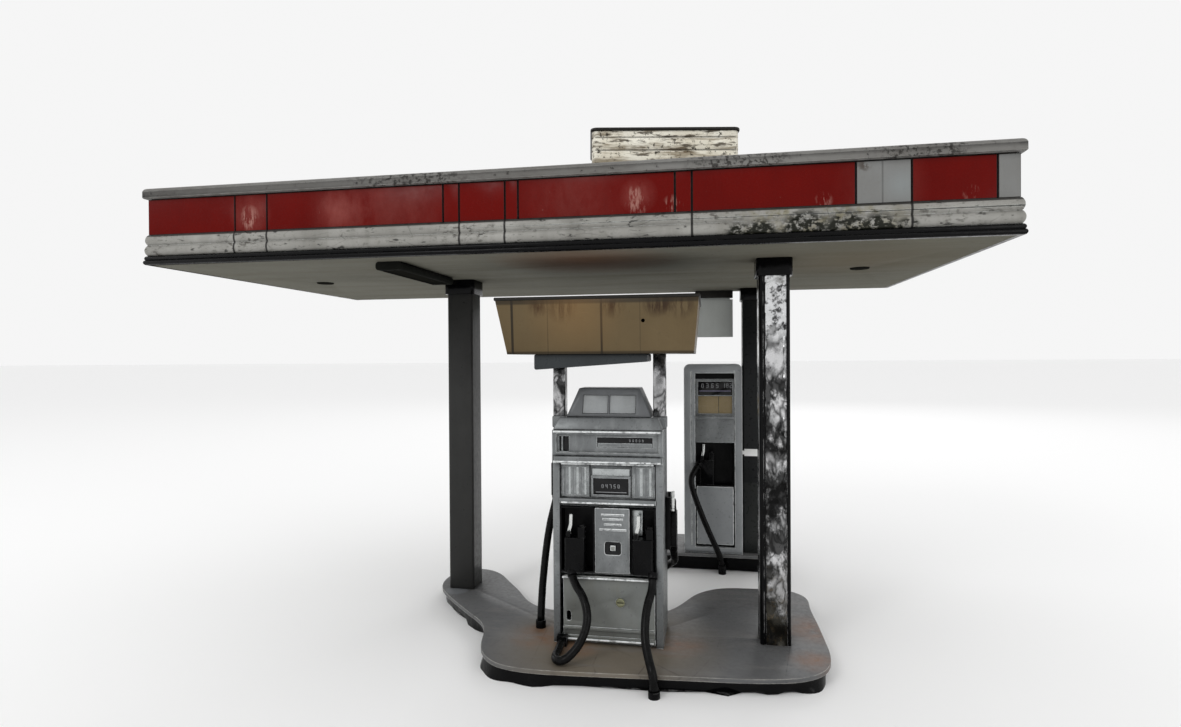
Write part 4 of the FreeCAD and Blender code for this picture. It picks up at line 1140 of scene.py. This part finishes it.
def make_centre_panel():
    piece = softened_copy("centre_panel", 0.25, FINISH["pump_grey"], FINISH["rim_wear_and_highlight"])
    low, high = millimetre_box("grade_button")
    front = millimetre_box("centre_panel")[0][1]
    paint_inside(piece, (low[0] - 3.4, front + 0.7, low[2] - 2.6), (high[0] + 3.4, front + 3, high[2] + 2.6),
                 FINISH["display_glass"])
    dress(piece, None, STRUCTURE, ("centre_panel",))


def make_rear_cabinet():
    piece = softened_copy("rear_cabinet", 0.5, FINISH["rear_grey_lifted_for_shade"], FINISH["rim_wear_and_highlight"])
    bezel_low, bezel_high = millimetre_box("rear_bezel")
    door_high = millimetre_box("rear_service_door")[1]
    front = millimetre_box("rear_cabinet")[0][1]
    paint_inside(piece, (bezel_low[0] - 1, front + 1.2, door_high[2] - 1),
                 (bezel_high[0] + 1, front + 11, bezel_low[2]), FINISH["boot_black"])
    dress(piece, None, STRUCTURE, ("rear_cabinet",))


# ---------------------------------------------------------------- carried-over shapes

ROUNDING = {
    "front_island_slab": 0.6, "rear_island_slab": 0.6, "rear_right_column": 0.2, "left_column": 0.2,
    "column_collars": 0.8, "coping_rail": 1.2, "drip_trim": 0.3, "fascia_moulding": 0.15, "canopy_frame": 0.3,
    "front_cabinet": 0.4, "front_uprights": 0.5, "front_shoulder_cap": 0.7, "topper_shell": 0.45,
    "topper_windows": 0.2, "meter_bezels": 0.45, "front_service_door": 0.4, "sign_box": 0.6,
    "sign_box_lid": 0.3, "sign_shelf": 0.4, "rear_bezel": 0.4, "rear_service_door": 0.4, "hanging_panel": 0.2,
    "hanging_panel_rail": 0.2, "roof_housing_trim": 0.4, "nozzle_boots": 0.3, "grade_button": 0.3,
    "column_tag_clip": 0.2, "soffit_lamp_housing": 0.3, "hose_sockets": 0.4, "door_lock": 0.15,
    "soffit_panel": 0.2, "roof_deck": 0.2, "soffit_lamp_lenses": 0.2, "base_screws": 0.1,
}
NOZZLE_ROUNDING, PLAIN_ROUNDING = 0.7, 0.25
FINISH_OF_NODE = {
    "front_service_door": "door_grey", "rear_service_door": "rear_grey_lifted_for_shade", "topper_shell": "topper_grey",
}
SEAM_RIMS = ("red_fascia_panels", "blank_fascia_panels")
# Nodes whose rounded rims get the bright rim finish, partly worn paint and partly a painted highlight.
WEAR_AND_HIGHLIGHT_RIMS = ("meter_bezels", "front_uprights", "front_service_door", "rear_bezel", "rear_service_door",
             "front_cabinet", "grade_button")
RIM_OF_NODE = {**dict.fromkeys(SEAM_RIMS, "seam_black"), **dict.fromkeys(WEAR_AND_HIGHLIGHT_RIMS, "rim_wear_and_highlight")}


def carry_over():
    """The other nodes keep their shape: a copy of each gets rounded edges and its finish."""
    for node, source in frame["nodes"].items():
        if source.hide_render:
            continue
        slot = SLOT_OF[node]
        rounding = ROUNDING.get(node, NOZZLE_ROUNDING if node.endswith("_nozzle") else PLAIN_ROUNDING)
        finish = FINISH[FINISH_OF_NODE.get(node, slot)]
        rim = FINISH[RIM_OF_NODE[node]] if node in RIM_OF_NODE else None
        dress(softened_copy(node, rounding, finish, rim), None, BODY_OF[node], (node,))


make_hoses()
make_wavy_curb("front_island_curb")
make_wavy_curb("rear_island_curb")
make_plated_column("front_right_column", FINISH["column_chrome"], 1.3)
make_displays()
make_fluted_panels()
make_bay_plate()
make_head_beads()
make_centre_panel()
make_rear_cabinet()
carry_over()
